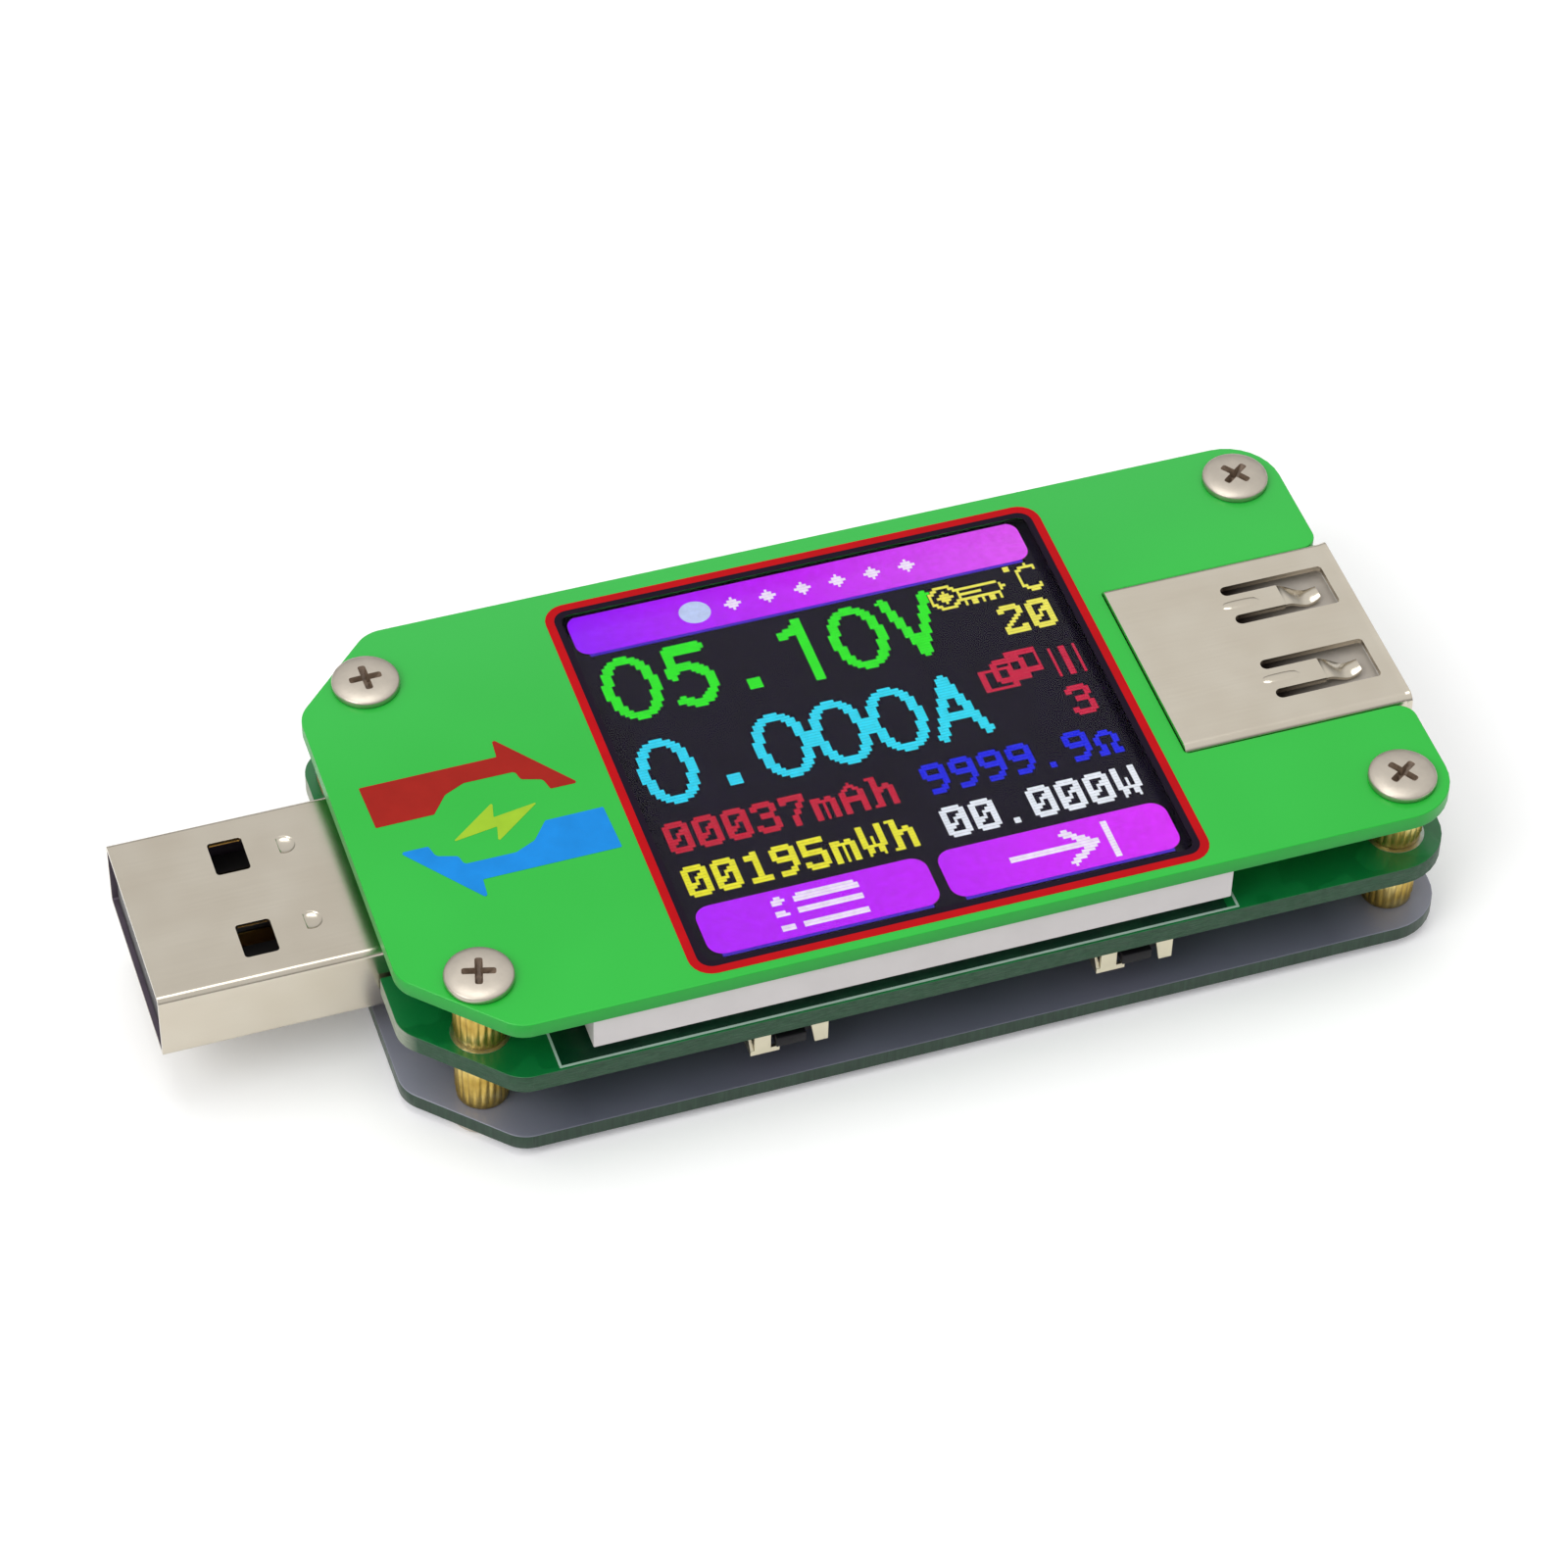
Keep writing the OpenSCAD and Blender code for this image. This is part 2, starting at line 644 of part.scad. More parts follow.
// Row of bent leads along X, leaving a chip's side towards +Y
module lead_row(half_d, count, pitch, lead_w, h) {
    out = 1;
    t = 0.15;
    top = board_z0;
    mid = board_z0 - h;
    for (i = [0:count - 1])
        translate([(i - (count - 1) / 2) * pitch, half_d, 0]) rotate([0, 0, 90]) along_y(-lead_w / 2, lead_w / 2)
            polygon([[0, mid], [0.35, mid], [0.55, top - t], [out, top - t], [out, top],
                     [0.4, top], [0.2, mid + t], [0, mid + t]]);
}

// The same row of leads on several sides of a chip
module lead_rows(place, turns, half_d, count, pitch, lead_w, h) {
    for (turn = turns)
        translate([place[0], place[1], 0]) rotate([0, 0, turn]) lead_row(half_d, count, pitch, lead_w, h);
}

module microcontroller() color("dimgray") {
    package(mcu_place, 7, 7, 1.4);
}

module power_mosfets() color("dimgray") {
    for (place = mosfet_places) package(place, 4.9, 3.9, 1.5);
}

module voltage_regulator() color("dimgray") {
    package(regulator_place, 6.5, 3.5, 1.6);
}

module current_amplifier() color("dimgray") {
    package(amplifier_place, 3, 3, 1);
}

module flash_memory() color("dimgray") {
    package(flash_place, 4.9, 3.9, 1.5);
}

module temperature_sensor() color("dimgray") {
    package(sensor_place, 2.9, 1.3, 1);
}

module chip_leads() color("silver") {
    both = [0, 180];
    lead_rows(mcu_place, [0, 90, 180, 270], 3.5, 12, 0.5, 0.22, 0.8);
    for (place = concat(mosfet_places, [flash_place]))
        lead_rows(place, both, 1.95, 4, 1.27, 0.42, 0.8);
    lead_rows(amplifier_place, both, 1.5, 4, 0.65, 0.3, 0.6);
    lead_rows(regulator_place, [180], 1.75, 3, 2.3, 0.7, 0.8);
    lead_rows(regulator_place, [0], 1.75, 1, 1, 3, 0.8);
    lead_rows(sensor_place, [180], 0.65, 2, 1.9, 0.4, 0.6);
    lead_rows(sensor_place, [0], 0.65, 1, 1, 0.4, 0.6);
}

// ---- Passive parts ----

module current_shunt() color("slategray") {
    package(shunt_place, 6.4, 3.2, 0.7, 0);
}

module inductor() color("dimgray") {
    package(inductor_place, 4, 4, 2, 0);
}

module crystal() color("silver") {
    package(crystal_place, 3.2, 2.5, 0.8, 0);
}

// Chip part of a given size at each place, on the side of the board at z
module chip_parts(places, size, z) {
    for (place = places)
        translate([place[0], place[1], z]) rotate([0, 0, place[2]])
            translate([-size[0] / 2, -size[1] / 2, 0]) cube(size);
}

module ceramic_capacitors() color("peru") {
    chip_parts(capacitor_places, [2, 1.25, 0.9], board_z0 - 0.9);
    chip_parts(top_capacitor_places, [2, 1.25, 0.9], board_z1);
}

module tantalum_capacitors() color("goldenrod") {
    chip_parts(tantalum_places, [3.5, 2.8, 1.9], board_z0 - 1.9);
}

module chip_resistors() color("black") {
    chip_parts(resistor_places, [1.6, 0.8, 0.45], board_z0 - 0.45);
}

// Solder on the ears of the plug and the socket
module solder_joints() color("lightgray") {
    plug_ear = [plug_x1 - 2.6, plug_w / 2 + 1.75, board_z1];
    socket_ear = [socket_x0 + 3.2, socket_w / 2 + 1.85, board_z1];
    for (side = [-1, 1]) {
        translate([plug_ear[0], side * plug_ear[1], plug_ear[2]]) cylinder(r1 = 0.34, r2 = 0.15, h = 0.3);
        translate([socket_ear[0], socket_y + side * socket_ear[1], socket_ear[2]])
            cylinder(r1 = 0.34, r2 = 0.15, h = 0.3);
    }
}

top_cover();
bottom_cover();
main_board();
upper_standoffs();
lower_standoffs();
top_screws();
bottom_screws();
usb_plug_shell();
usb_plug_insulator();
usb_plug_contacts();
usb_socket_shell();
usb_socket_insulator();
usb_socket_contacts();
micro_usb_shell();
micro_usb_insulator();
micro_usb_contacts();
display_frame();
display_reflector();
display_light_guide();
display_leds();
display_rear_glass();
display_front_glass();
display_polariser();
display_driver_chip();
display_flex();
display_foam_pads();
front_left_button();
front_right_button();
rear_left_button();
rear_right_button();
switch_housings();
switch_brackets();
switch_domes();
switch_terminals();
microcontroller();
power_mosfets();
voltage_regulator();
current_amplifier();
flash_memory();
temperature_sensor();
chip_leads();
current_shunt();
inductor();
crystal();
ceramic_capacitors();
tantalum_capacitors();
chip_resistors();
solder_joints();
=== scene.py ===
"""Looks of the USB power meter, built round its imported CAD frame.

Shapes are worked out in millimetres in the frame's own axes: +X to the socket, -Y to the front, z = 0 on
the ground.
"""
import json
import math

import bmesh
import bpy
from mathutils import Matrix, Vector

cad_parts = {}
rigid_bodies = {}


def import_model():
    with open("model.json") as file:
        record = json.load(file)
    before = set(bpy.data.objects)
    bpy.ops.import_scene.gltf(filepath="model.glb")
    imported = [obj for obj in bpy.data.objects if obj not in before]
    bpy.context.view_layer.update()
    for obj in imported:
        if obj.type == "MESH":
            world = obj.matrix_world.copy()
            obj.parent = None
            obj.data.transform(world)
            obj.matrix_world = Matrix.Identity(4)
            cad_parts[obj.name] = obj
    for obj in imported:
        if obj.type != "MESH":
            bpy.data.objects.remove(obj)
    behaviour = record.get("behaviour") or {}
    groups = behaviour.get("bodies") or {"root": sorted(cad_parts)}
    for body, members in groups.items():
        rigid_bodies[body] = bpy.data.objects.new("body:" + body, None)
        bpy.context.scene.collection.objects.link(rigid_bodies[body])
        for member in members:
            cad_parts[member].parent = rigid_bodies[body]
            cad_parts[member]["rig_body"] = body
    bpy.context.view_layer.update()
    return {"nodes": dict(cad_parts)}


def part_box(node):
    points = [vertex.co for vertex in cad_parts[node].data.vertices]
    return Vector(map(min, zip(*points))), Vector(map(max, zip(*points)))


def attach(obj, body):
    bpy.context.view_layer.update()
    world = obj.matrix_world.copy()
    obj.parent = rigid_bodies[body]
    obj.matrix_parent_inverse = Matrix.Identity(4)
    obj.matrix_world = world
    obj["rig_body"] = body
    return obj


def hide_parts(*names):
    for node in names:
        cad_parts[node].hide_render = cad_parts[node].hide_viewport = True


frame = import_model()

MM = 0.001
SINK = 0.001
CLOUDS = 0.3, 0.7  # values between which nearly all of a noise pattern lies
WHITE = 1, 1, 1, 1


# ---- Colour and material helpers ----

def srgb(r, g, b):
    """An 8-bit sRGB colour as linear RGBA."""
    def linear(v):
        v = v / 255
        return v / 12.92 if v <= 0.04045 else ((v + 0.055) / 1.055) ** 2.4
    return (linear(r), linear(g), linear(b), 1)


def shade(colour, factor):
    """A colour made lighter or darker."""
    return tuple(min(c * factor, 1) for c in colour[:3]) + (1,)


def configure(thing, **settings):
    for key, value in settings.items():
        setattr(thing, key, value)
    return thing


class Graph:
    """Shader nodes of a material or world."""

    def __init__(self, owner):
        owner.use_nodes = True
        self.nodes = owner.node_tree.nodes
        self.links = owner.node_tree.links

    def feed(self, socket, value):
        """Sets a socket, or links it if the value is another socket."""
        if isinstance(value, bpy.types.NodeSocket):
            self.links.new(value, socket)
        else:
            socket.default_value = value

    def add(self, kind, inputs={}, **values):
        """New node with its inputs fed and its own values set."""
        node = configure(self.nodes.new(kind), **values)
        for key, value in inputs.items():
            self.feed(node.inputs[key], value)
        return node

    def ramp(self, value, stops):
        """Colours along a value: stops are (position, colour) pairs."""
        node = self.add("ShaderNodeValToRGB", {"Fac": value})
        ramp = node.color_ramp
        while len(ramp.elements) < len(stops):
            ramp.elements.new(0.5)
        for element, (position, colour) in zip(ramp.elements, stops):
            element.position = position
            element.color = colour
        return node.outputs["Color"]


class Surface(Graph):
    """A Principled material whose patterns are laid out in millimetres."""

    def __init__(self, name, **sockets):
        self.material = bpy.data.materials.new(name)
        super().__init__(self.material)
        self.shader = self.nodes["Principled BSDF"]
        self.place = self.add("ShaderNodeTexCoord").outputs["Object"]
        for key, value in sockets.items():
            self.shader.inputs[key.replace("_", " ")].default_value = value

    def stretched(self, size):
        """Coordinates in which one unit is size millimetres along each axis."""
        scale = [1 / (MM * s) for s in size]
        return self.add("ShaderNodeMapping", {"Vector": self.place, "Scale": scale}).outputs["Vector"]

    def noise(self, size, detail=3):
        """Cloudy pattern with features of about size millimetres (one number or three)."""
        size = size if isinstance(size, tuple) else (size,) * 3
        inputs = {"Vector": self.stretched(size), "Scale": 1, "Detail": detail, "Roughness": 0.55}
        return self.add("ShaderNodeTexNoise", inputs).outputs["Fac"]

    def cells(self, size):
        """Distance to the nearest of many scattered points, size millimetres apart."""
        inputs = {"Vector": self.stretched((size,) * 3), "Scale": 1}
        return self.add("ShaderNodeTexVoronoi", inputs).outputs["Distance"]

    def axis(self, index, low, high):
        """0 at low millimetres along an axis, 1 at high."""
        split = self.add("ShaderNodeSeparateXYZ", {0: self.place})
        return self.remap(split.outputs[index], low * MM, high * MM, 0, 1)

    def remap(self, value, from_low, from_high, to_low, to_high):
        inputs = {"Value": value, "From Min": from_low, "From Max": from_high,
                  "To Min": to_low, "To Max": to_high}
        return self.add("ShaderNodeMapRange", inputs).outputs["Result"]

    def mix(self, factor, first, second, how="MIX"):
        inputs = {"Factor": factor, 6: first, 7: second}
        return self.add("ShaderNodeMix", inputs, data_type="RGBA", blend_type=how).outputs[2]

    def drive(self, socket, value):
        self.links.new(value, self.shader.inputs[socket])

    def fade(self, value, dark, light, ends=(0, 1)):
        """Colours from dark to light along a value, between its two ends."""
        return self.ramp(value, tuple(zip(ends, (dark, light))))

    def two_tone(self, value, dark, light, ends=(0, 1)):
        self.drive("Base Color", self.fade(value, dark, light, ends))

    def clouds(self, size, detail=3):
        """Noise spread over the whole range from 0 to 1."""
        return self.remap(self.noise(size, detail), *CLOUDS, 0, 1)

    def bump(self, height, depth):
        """Relief of depth millimetres from a pattern that runs from 0 to 1, added to any earlier relief."""
        node = self.add("ShaderNodeBump", {"Distance": depth * MM, "Height": height})
        for earlier in self.shader.inputs["Normal"].links:
            self.links.new(earlier.from_socket, node.inputs["Normal"])
        self.drive("Normal", node.outputs["Normal"])

    def mottled(self, colour, size, spread):
        """Base colour that drifts by spread round its mean in clouds of size millimetres."""
        self.two_tone(self.clouds(size), shade(colour, 1 - spread), shade(colour, 1 + spread))

    def polish(self, low, high, size=2.0):
        """Roughness between low and high in clouds of size millimetres."""
        self.drive("Roughness", self.remap(self.noise(size, 5), *CLOUDS, low, high))


# ---- Materials ----

def clouded(name, colour, drift, polish, grain, depth, **sockets):
    """Drifting colour (cloud size, spread), uneven polish and relief of depth from a grain (size, detail)."""
    made = Surface(name, **sockets)
    made.mottled(srgb(*colour), *drift)
    made.polish(*polish)
    made.bump(made.noise(*grain), depth)
    return made.material


def plastic(name, colour, rough=0.4, spread=0.05, grain=0.15, depth=0.004, **sockets):
    """Moulded plastic: slight clouding and a fine moulded grain."""
    return clouded(name, colour, (3.0, spread), (rough - 0.06, rough + 0.08), (grain, 2), depth, **sockets)


def glass(name, colour, rough):
    """Dark coated glass."""
    return plastic(name, colour, rough, 0.06, 0.8, 0.001, Coat_Weight=0.6)


def metal(name, colour, rough=0.34, spread=0.06, streak=(0.6, 0.05, 0.6), depth=0.002):
    """Rolled or drawn metal: fine streaks, smudges and uneven polish."""
    polish = rough - 0.05, rough + 0.08, 1.5
    return clouded(name, colour, (2.5, spread), polish, (streak, 3), depth, Metallic=1)


def patterned(name, pattern, tones, ends, polish, depth, **sockets):
    """Colour and relief that follow one pattern, the colour from tone to tone between two of its values."""
    made = Surface(name, **sockets)
    value = pattern(made)
    made.two_tone(value, *[srgb(*tone) for tone in tones], ends)
    made.polish(*polish)
    made.bump(value, depth)
    return made.material


def cover_green():
    """Glossy green sheet: even print with faint drifts of tone, a little greyer towards the rear."""
    made = Surface("cover_green", Coat_Weight=0.25, Coat_Roughness=0.05, Specular_IOR_Level=0.3)
    base = made.fade(made.clouds(14.0, 2), srgb(28, 172, 50), srgb(34, 180, 56))
    rear = made.mix(0.6, base, srgb(52, 174, 74))
    made.drive("Base Color", made.mix(made.axis(1, 2, 15), base, rear))
    made.polish(0.16, 0.26, 6.0)
    made.bump(made.noise(5.0, 2), 0.006)
    return made.material


def cover_edge():
    """Cut edge of the green sheet: painted shade darkens it towards the bottom, with faint cutting marks."""
    low, high = span("top_cover")
    made = Surface("cover_edge", Specular_IOR_Level=0.2)
    up = made.axis(2, low.z, high.z)
    # Painted shade: green at the top of the edge, darker green at its bottom.
    tone = made.ramp(up, ((0, srgb(36, 138, 58)), (0.5, srgb(35, 158, 58)), (1, srgb(34, 170, 56))))
    made.drive("Base Color", made.mix(made.noise((2.0, 2.0, 8.0)), tone, srgb(34, 152, 56)))
    made.polish(0.3, 0.4, 2.0)
    made.bump(made.noise((0.2, 0.2, 6.0)), 0.002)
    return made.material


def print_ink(name, colour):
    """Screen-printed ink: slightly uneven and matt."""
    return clouded(name, colour, (1.6, 0.07), (0.3, 0.42, 1.0), (0.2, 2), 0.004, Specular_IOR_Level=0.08)


def window_clear():
    """Clear acrylic of the display window."""
    made = Surface("window_clear", IOR=1.15, Transmission_Weight=1)
    made.drive("Roughness", made.remap(made.noise(4.0), *CLOUDS, 0.0, 0.015))
    made.two_tone(made.noise(6.0), (0.97, 0.98, 0.98, 1), WHITE)
    return made.material


def glowing(name, colours, low=-7.0, high=20.0):
    """Lit display pixels, with colours that change along X and a slight unevenness."""
    made = Surface(name, Roughness=0.5, Specular_IOR_Level=0.0, Emission_Strength=1)
    made.two_tone(made.noise(1.0), (0.01, 0.01, 0.012, 1), (0.02, 0.02, 0.024, 1))
    stops = [(i / max(len(colours) - 1, 1), srgb(*c)) for i, c in enumerate(colours)]
    tone = made.ramp(made.axis(0, low, high), stops)
    grain = made.fade(made.noise(0.35, 2), shade(WHITE, 0.86), WHITE, CLOUDS)
    made.drive("Emission Color", made.mix(1.0, tone, grain, "MULTIPLY"))
    return made.material


def panel_black():
    """The display's dark glass with a faint violet cast."""
    return clouded("panel_black", (18, 12, 30), (5.0, 0.12), (0.1, 0.2, 3.0), (0.3, 2), 0.002,
                   Specular_IOR_Level=0.05)


def board_mask(name="board_mask", base=(4, 98, 46), light=(10, 110, 54)):
    """Solder mask over copper: green, glossy, with paler areas where copper lies below."""
    made = Surface(name, Coat_Weight=0.4, Coat_Roughness=0.15)
    pours = made.remap(made.noise(2.4, 1), 0.47, 0.51, 0, 1)
    body = made.fade(made.noise(6.0), srgb(*base), shade(srgb(*base), 1.15), CLOUDS)
    made.drive("Base Color", made.mix(pours, body, srgb(*light)))
    made.polish(0.29, 0.38, 1.2)
    made.bump(pours, 0.012)
    made.bump(made.noise(0.25, 2), 0.006)
    return made.material


def board_core():
    """Cut edge of the glass-fibre board: layered and fibrous, with a painted highlight making it pale at the
    plug end.
    """
    made = Surface("board_core", Specular_IOR_Level=0.35)
    fibres = made.noise((0.5, 0.5, 0.06), 4)
    body = made.fade(fibres, srgb(22, 58, 36), srgb(40, 80, 54), CLOUDS)
    # Painted highlight: the pale tone at the plug end stands in for light catching that edge.
    painted_highlight = made.fade(fibres, srgb(132, 142, 124), srgb(164, 170, 152), CLOUDS)
    end = span("main_board")[0].x
    made.drive("Base Color", made.mix(made.axis(0, end + 0.02, end + 0.8), painted_highlight, body))
    made.polish(0.45, 0.65, 0.5)
    made.bump(fibres, 0.02)
    return made.material


def bottom_slate():
    """Bottom sheet: dark slate with a satin sheen, with painted light making it paler towards its ends."""
    made = Surface("bottom_slate", Coat_Weight=0.3, Coat_Roughness=0.2)
    slate = made.fade(made.clouds(9.0), srgb(88, 90, 104), srgb(98, 100, 114))
    # Painted light: the sheet turns to this pale tone towards both ends.
    painted_light_tone = srgb(136, 138, 152)
    low, high = span("bottom_cover")
    left = made.mix(made.axis(0, low.x + 9, low.x + 1), slate, painted_light_tone)
    made.drive("Base Color", made.mix(made.axis(0, high.x - 7, high.x), left, painted_light_tone))
    made.polish(0.29, 0.38, 3.0)
    made.bump(made.noise(0.35, 2), 0.005)
    return made.material


def bottom_edge():
    """Cut edge of the bottom sheet: dark green with cutting marks."""
    return patterned("bottom_edge", lambda made: made.noise((0.15, 0.15, 2.5)), ((20, 46, 32), (36, 64, 46)),
                     CLOUDS, (0.3, 0.45, 0.8), 0.01, Specular_IOR_Level=0.4)


def nickel(name="nickel", painted_light_gain=1.0):
    """Nickel-plated sheet: warm satin with drawing streaks along X and a few smudges; a gain above one gives
    a brighter copy as painted light.
    """
    made = Surface(name, Metallic=1)
    streaks = made.noise((5.0, 0.12, 0.12), 4)
    smudges = made.clouds(3.2, 1)
    tone = made.fade(smudges, shade(srgb(200, 191, 175), painted_light_gain), shade(srgb(205, 197, 182), painted_light_gain))
    fine = made.fade(streaks, shade(WHITE, 0.96), WHITE, (0.2, 0.8))
    made.drive("Base Color", made.mix(1.0, tone, fine, "MULTIPLY"))
    made.drive("Roughness", made.remap(smudges, 0, 1, 0.19, 0.23))
    made.bump(streaks, 0.003)
    return made.material


def shell_inside_shade():
    """Inner faces of the plug's shell, painted darker as the shade inside the tube."""
    return clouded("shell_inside_shade", (92, 82, 94), (1.2, 0.12), (0.45, 0.6, 0.8), ((3.0, 0.15, 0.15), 3), 0.003,
                   Metallic=0.4, Specular_IOR_Level=0.3)


def socket_nylon():
    """Pale moulded nylon, with painted shade making it darker towards the socket's back."""
    made = Surface("socket_nylon", Specular_IOR_Level=0.3)
    depth = made.axis(0, SOCKET_LOW.x + 7.0, SOCKET_LOW.x + 10.0)
    grain = made.fade(made.noise(0.8), shade(WHITE, 0.92), WHITE, CLOUDS)
    # Painted shade: dark deep in the socket, pale nearer its mouth.
    tone = made.mix(depth, srgb(62, 52, 48), srgb(172, 165, 156))
    made.drive("Base Color", made.mix(1.0, tone, grain, "MULTIPLY"))
    made.polish(0.4, 0.55)
    made.bump(made.noise(0.15), 0.004)
    return made.material


def brass():
    """Machined brass with drifts of tone."""
    made = Surface("brass", Metallic=1)
    tarnish = made.noise(1.6, 3)
    stops = (0.3, srgb(178, 146, 66)), (0.5, srgb(206, 176, 92)), (0.7, srgb(236, 214, 140))
    made.drive("Base Color", made.ramp(tarnish, stops))
    made.drive("Roughness", made.remap(tarnish, *CLOUDS, 0.42, 0.3))
    made.bump(made.noise((2.0, 2.0, 0.1), 2), 0.001)
    return made.material


def screw_steel():
    """Nickel-plated screw steel with faint turning marks."""
    marks = (0.1, 0.1, 0.6), 4
    return clouded("screw_steel", (196, 187, 174), (0.8, 0.05), (0.36, 0.44, 0.5), marks, 0.006, Metallic=1)


def recess_shade():
    """Dark brown floor of a screw's cross, painted shade in the recess."""
    return clouded("recess_shade", (112, 94, 78), (0.25, 0.25), (0.4, 0.6, 0.2), (0.12, 4), 0.01,
                   Specular_IOR_Level=0.4)


def solder():
    """Bright, slightly grainy solder."""
    return clouded("solder_metal", (196, 196, 194), (0.4, 0.1), (0.29, 0.42, 0.3), (0.15, 4), 0.012,
                   Metallic=1)


def copper_rows(made):
    """Pattern of parallel rows along X."""
    inputs = {"Scale": 0.5, "Vector": made.stretched((1, 0.32, 1))}
    return made.add("ShaderNodeTexWave", inputs, bands_direction="Y").outputs["Fac"]


def flex_film():
    """Amber polyimide tail with copper conductors along X."""
    return patterned("flex_film", copper_rows, ((120, 66, 20), (186, 116, 42)), (0.35, 0.65),
                     (0.29, 0.38), 0.01, Coat_Weight=0.5)


def foam():
    """Dark foam tape with open cells."""
    return patterned("foam", lambda made: made.cells(0.18), ((26, 26, 28), (64, 64, 68)), (0.1, 0.7),
                     (0.8, 0.95), 0.05, Specular_IOR_Level=0.2)


def film_with_dots():
    """White reflector or light-guide film with a fine dot pattern."""
    return patterned("dotted_film", lambda made: made.cells(0.5), ((236, 238, 240), (250, 250, 250)),
                     (0.2, 0.6), (0.29, 0.38), 0.004, Specular_IOR_Level=0.4)


def ceramic():
    """Fired tan ceramic, faintly speckled."""
    return patterned("ceramic", lambda made: made.noise(0.12, 4), ((138, 98, 62), (178, 138, 96)), CLOUDS,
                     (0.35, 0.5, 0.4), 0.006, Specular_IOR_Level=0.4)


# ---- Shape helpers, in millimetres ----

def span(node):
    """Lowest and highest corner of a CAD node."""
    low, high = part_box(node)
    return low / MM, high / MM


def solids(node):
    """Lowest and highest corner of each separate solid of a CAD node, in mesh order."""
    bm = bmesh.new()
    bm.from_mesh(frame["nodes"][node].data)
    weld(bm, 0.001 * MM)
    left, found = dict.fromkeys(bm.verts), []
    while left:
        stack, corners = [next(iter(left))], []
        while stack:
            vert = stack.pop()
            if vert in left:
                del left[vert]
                corners.append(vert.co / MM)
                stack += [edge.other_vert(vert) for edge in vert.link_edges]
        found.append([Vector([limit(c[i] for c in corners) for i in range(3)]) for limit in (min, max)])
    bm.free()
    return found


def arc(cx, cy, rx, ry, a0, a1, steps=16):
    """Points of an elliptic arc between two angles in degrees."""
    angles = [math.radians(a0 + (a1 - a0) * i / steps) for i in range(steps + 1)]
    return [(cx + rx * math.cos(a), cy + ry * math.sin(a)) for a in angles]


def rounded(corners, steps=6):
    """Closed outline through (x, y, radius) corners, each filleted by its radius."""
    points = []
    for i, (x, y, r) in enumerate(corners):
        here = Vector((x, y))
        back = (Vector(corners[i - 1][:2]) - here).normalized()
        ahead = (Vector(corners[(i + 1) % len(corners)][:2]) - here).normalized()
        half = back.angle(ahead) / 2
        centre = here + (back + ahead).normalized() * (r / math.sin(half))
        start = here + back * (r / math.tan(half)) - centre
        end = here + ahead * (r / math.tan(half)) - centre
        sweep = start.angle_signed(end)
        for step in range(steps + 1):
            turn = Matrix.Rotation(-sweep * step / steps, 2)
            points.append(tuple(centre + turn @ start))
    return points


def rectangle(x0, y0, x1, y1, r, steps=6):
    return rounded([(x0, y0, r), (x1, y0, r), (x1, y1, r), (x0, y1, r)], steps)


def circle(cx, cy, r, steps=48):
    return arc(cx, cy, r, r, 0, 360 - 360 / steps, steps - 1)


def evaluated(obj):
    """The object's mesh after its modifiers, with the object itself removed."""
    bpy.context.view_layer.update()
    mesh = bpy.data.meshes.new_from_object(obj.evaluated_get(bpy.context.evaluated_depsgraph_get()))
    bpy.data.objects.remove(obj)
    return mesh


def linked(data, name="part"):
    obj = bpy.data.objects.new(name, data)
    bpy.context.scene.collection.objects.link(obj)
    return obj


def slab(outlines, z0, z1, bevel, segments=1):
    """Mesh between two heights from outlines, the later ones being holes, with rounded rims."""
    curve = configure(
        bpy.data.curves.new("outline", "CURVE"), dimensions="2D", fill_mode="BOTH",
        extrude=(z1 - z0) / 2 - bevel, bevel_depth=bevel, bevel_resolution=segments, offset=-bevel)
    for outline in outlines:
        spline = curve.splines.new("POLY")
        spline.points.add(len(outline) - 1)
        for point, (x, y) in zip(spline.points, outline):
            point.co = (x, y, 0, 1)
        spline.use_cyclic_u = True
    mesh = evaluated(linked(curve))
    mesh.transform(Matrix.Translation((0, 0, (z0 + z1) / 2)))
    return mesh


def reshaped(mesh, *steps):
    """The mesh after steps that each change it as a bmesh."""
    bm = bmesh.new()
    bm.from_mesh(mesh)
    for step in steps:
        step(bm)
    bm.to_mesh(mesh)
    bm.free()
    return mesh


def weld(bm, distance=0.0005):
    bmesh.ops.remove_doubles(bm, verts=bm.verts, dist=distance)


def face_out(bm):
    bmesh.ops.recalc_face_normals(bm, faces=bm.faces)


def layer(outlines, z, thick, bevel):
    """Thin layer on a face at z, sunk in a little, or hanging under the face if thick is negative."""
    return slab(outlines, *sorted((z - math.copysign(SINK, thick), z + thick)), bevel)


def edge_painted(mesh):
    """A plate whose upright faces have the second material."""
    return painted(mesh, lambda centre, normal: abs(normal.z) < 0.6)


def from_faces(verts, faces):
    mesh = bpy.data.meshes.new("faces")
    mesh.from_pydata([tuple(v) for v in verts], [], faces)
    return reshaped(mesh, face_out)


def loft(rings, closed_ends=True):
    """Skin over rings of points with the same number of points each."""
    count = len(rings[0])
    last = (len(rings) - 1) * count
    sides = [(j, (j + 1) % count) for j in range(count)]
    faces = [(i + j, i + k, i + count + k, i + count + j) for i in range(0, last, count) for j, k in sides]
    if closed_ends:
        faces += [tuple(range(start, start + count)) for start in (0, last)]
    return from_faces([p for ring in rings for p in ring], faces)


def lathe(profile, steps):
    """Solid turned about Z from a closed (radius, z) profile."""
    angles = [2 * math.pi * i / steps for i in range(steps)]
    return looped([[(r * math.cos(a), r * math.sin(a), z) for r, z in profile] for a in angles])


def looped(rings):
    """Skin over rings of points that closes on its first ring."""
    return welded(loft(rings + [rings[0]], closed_ends=False))


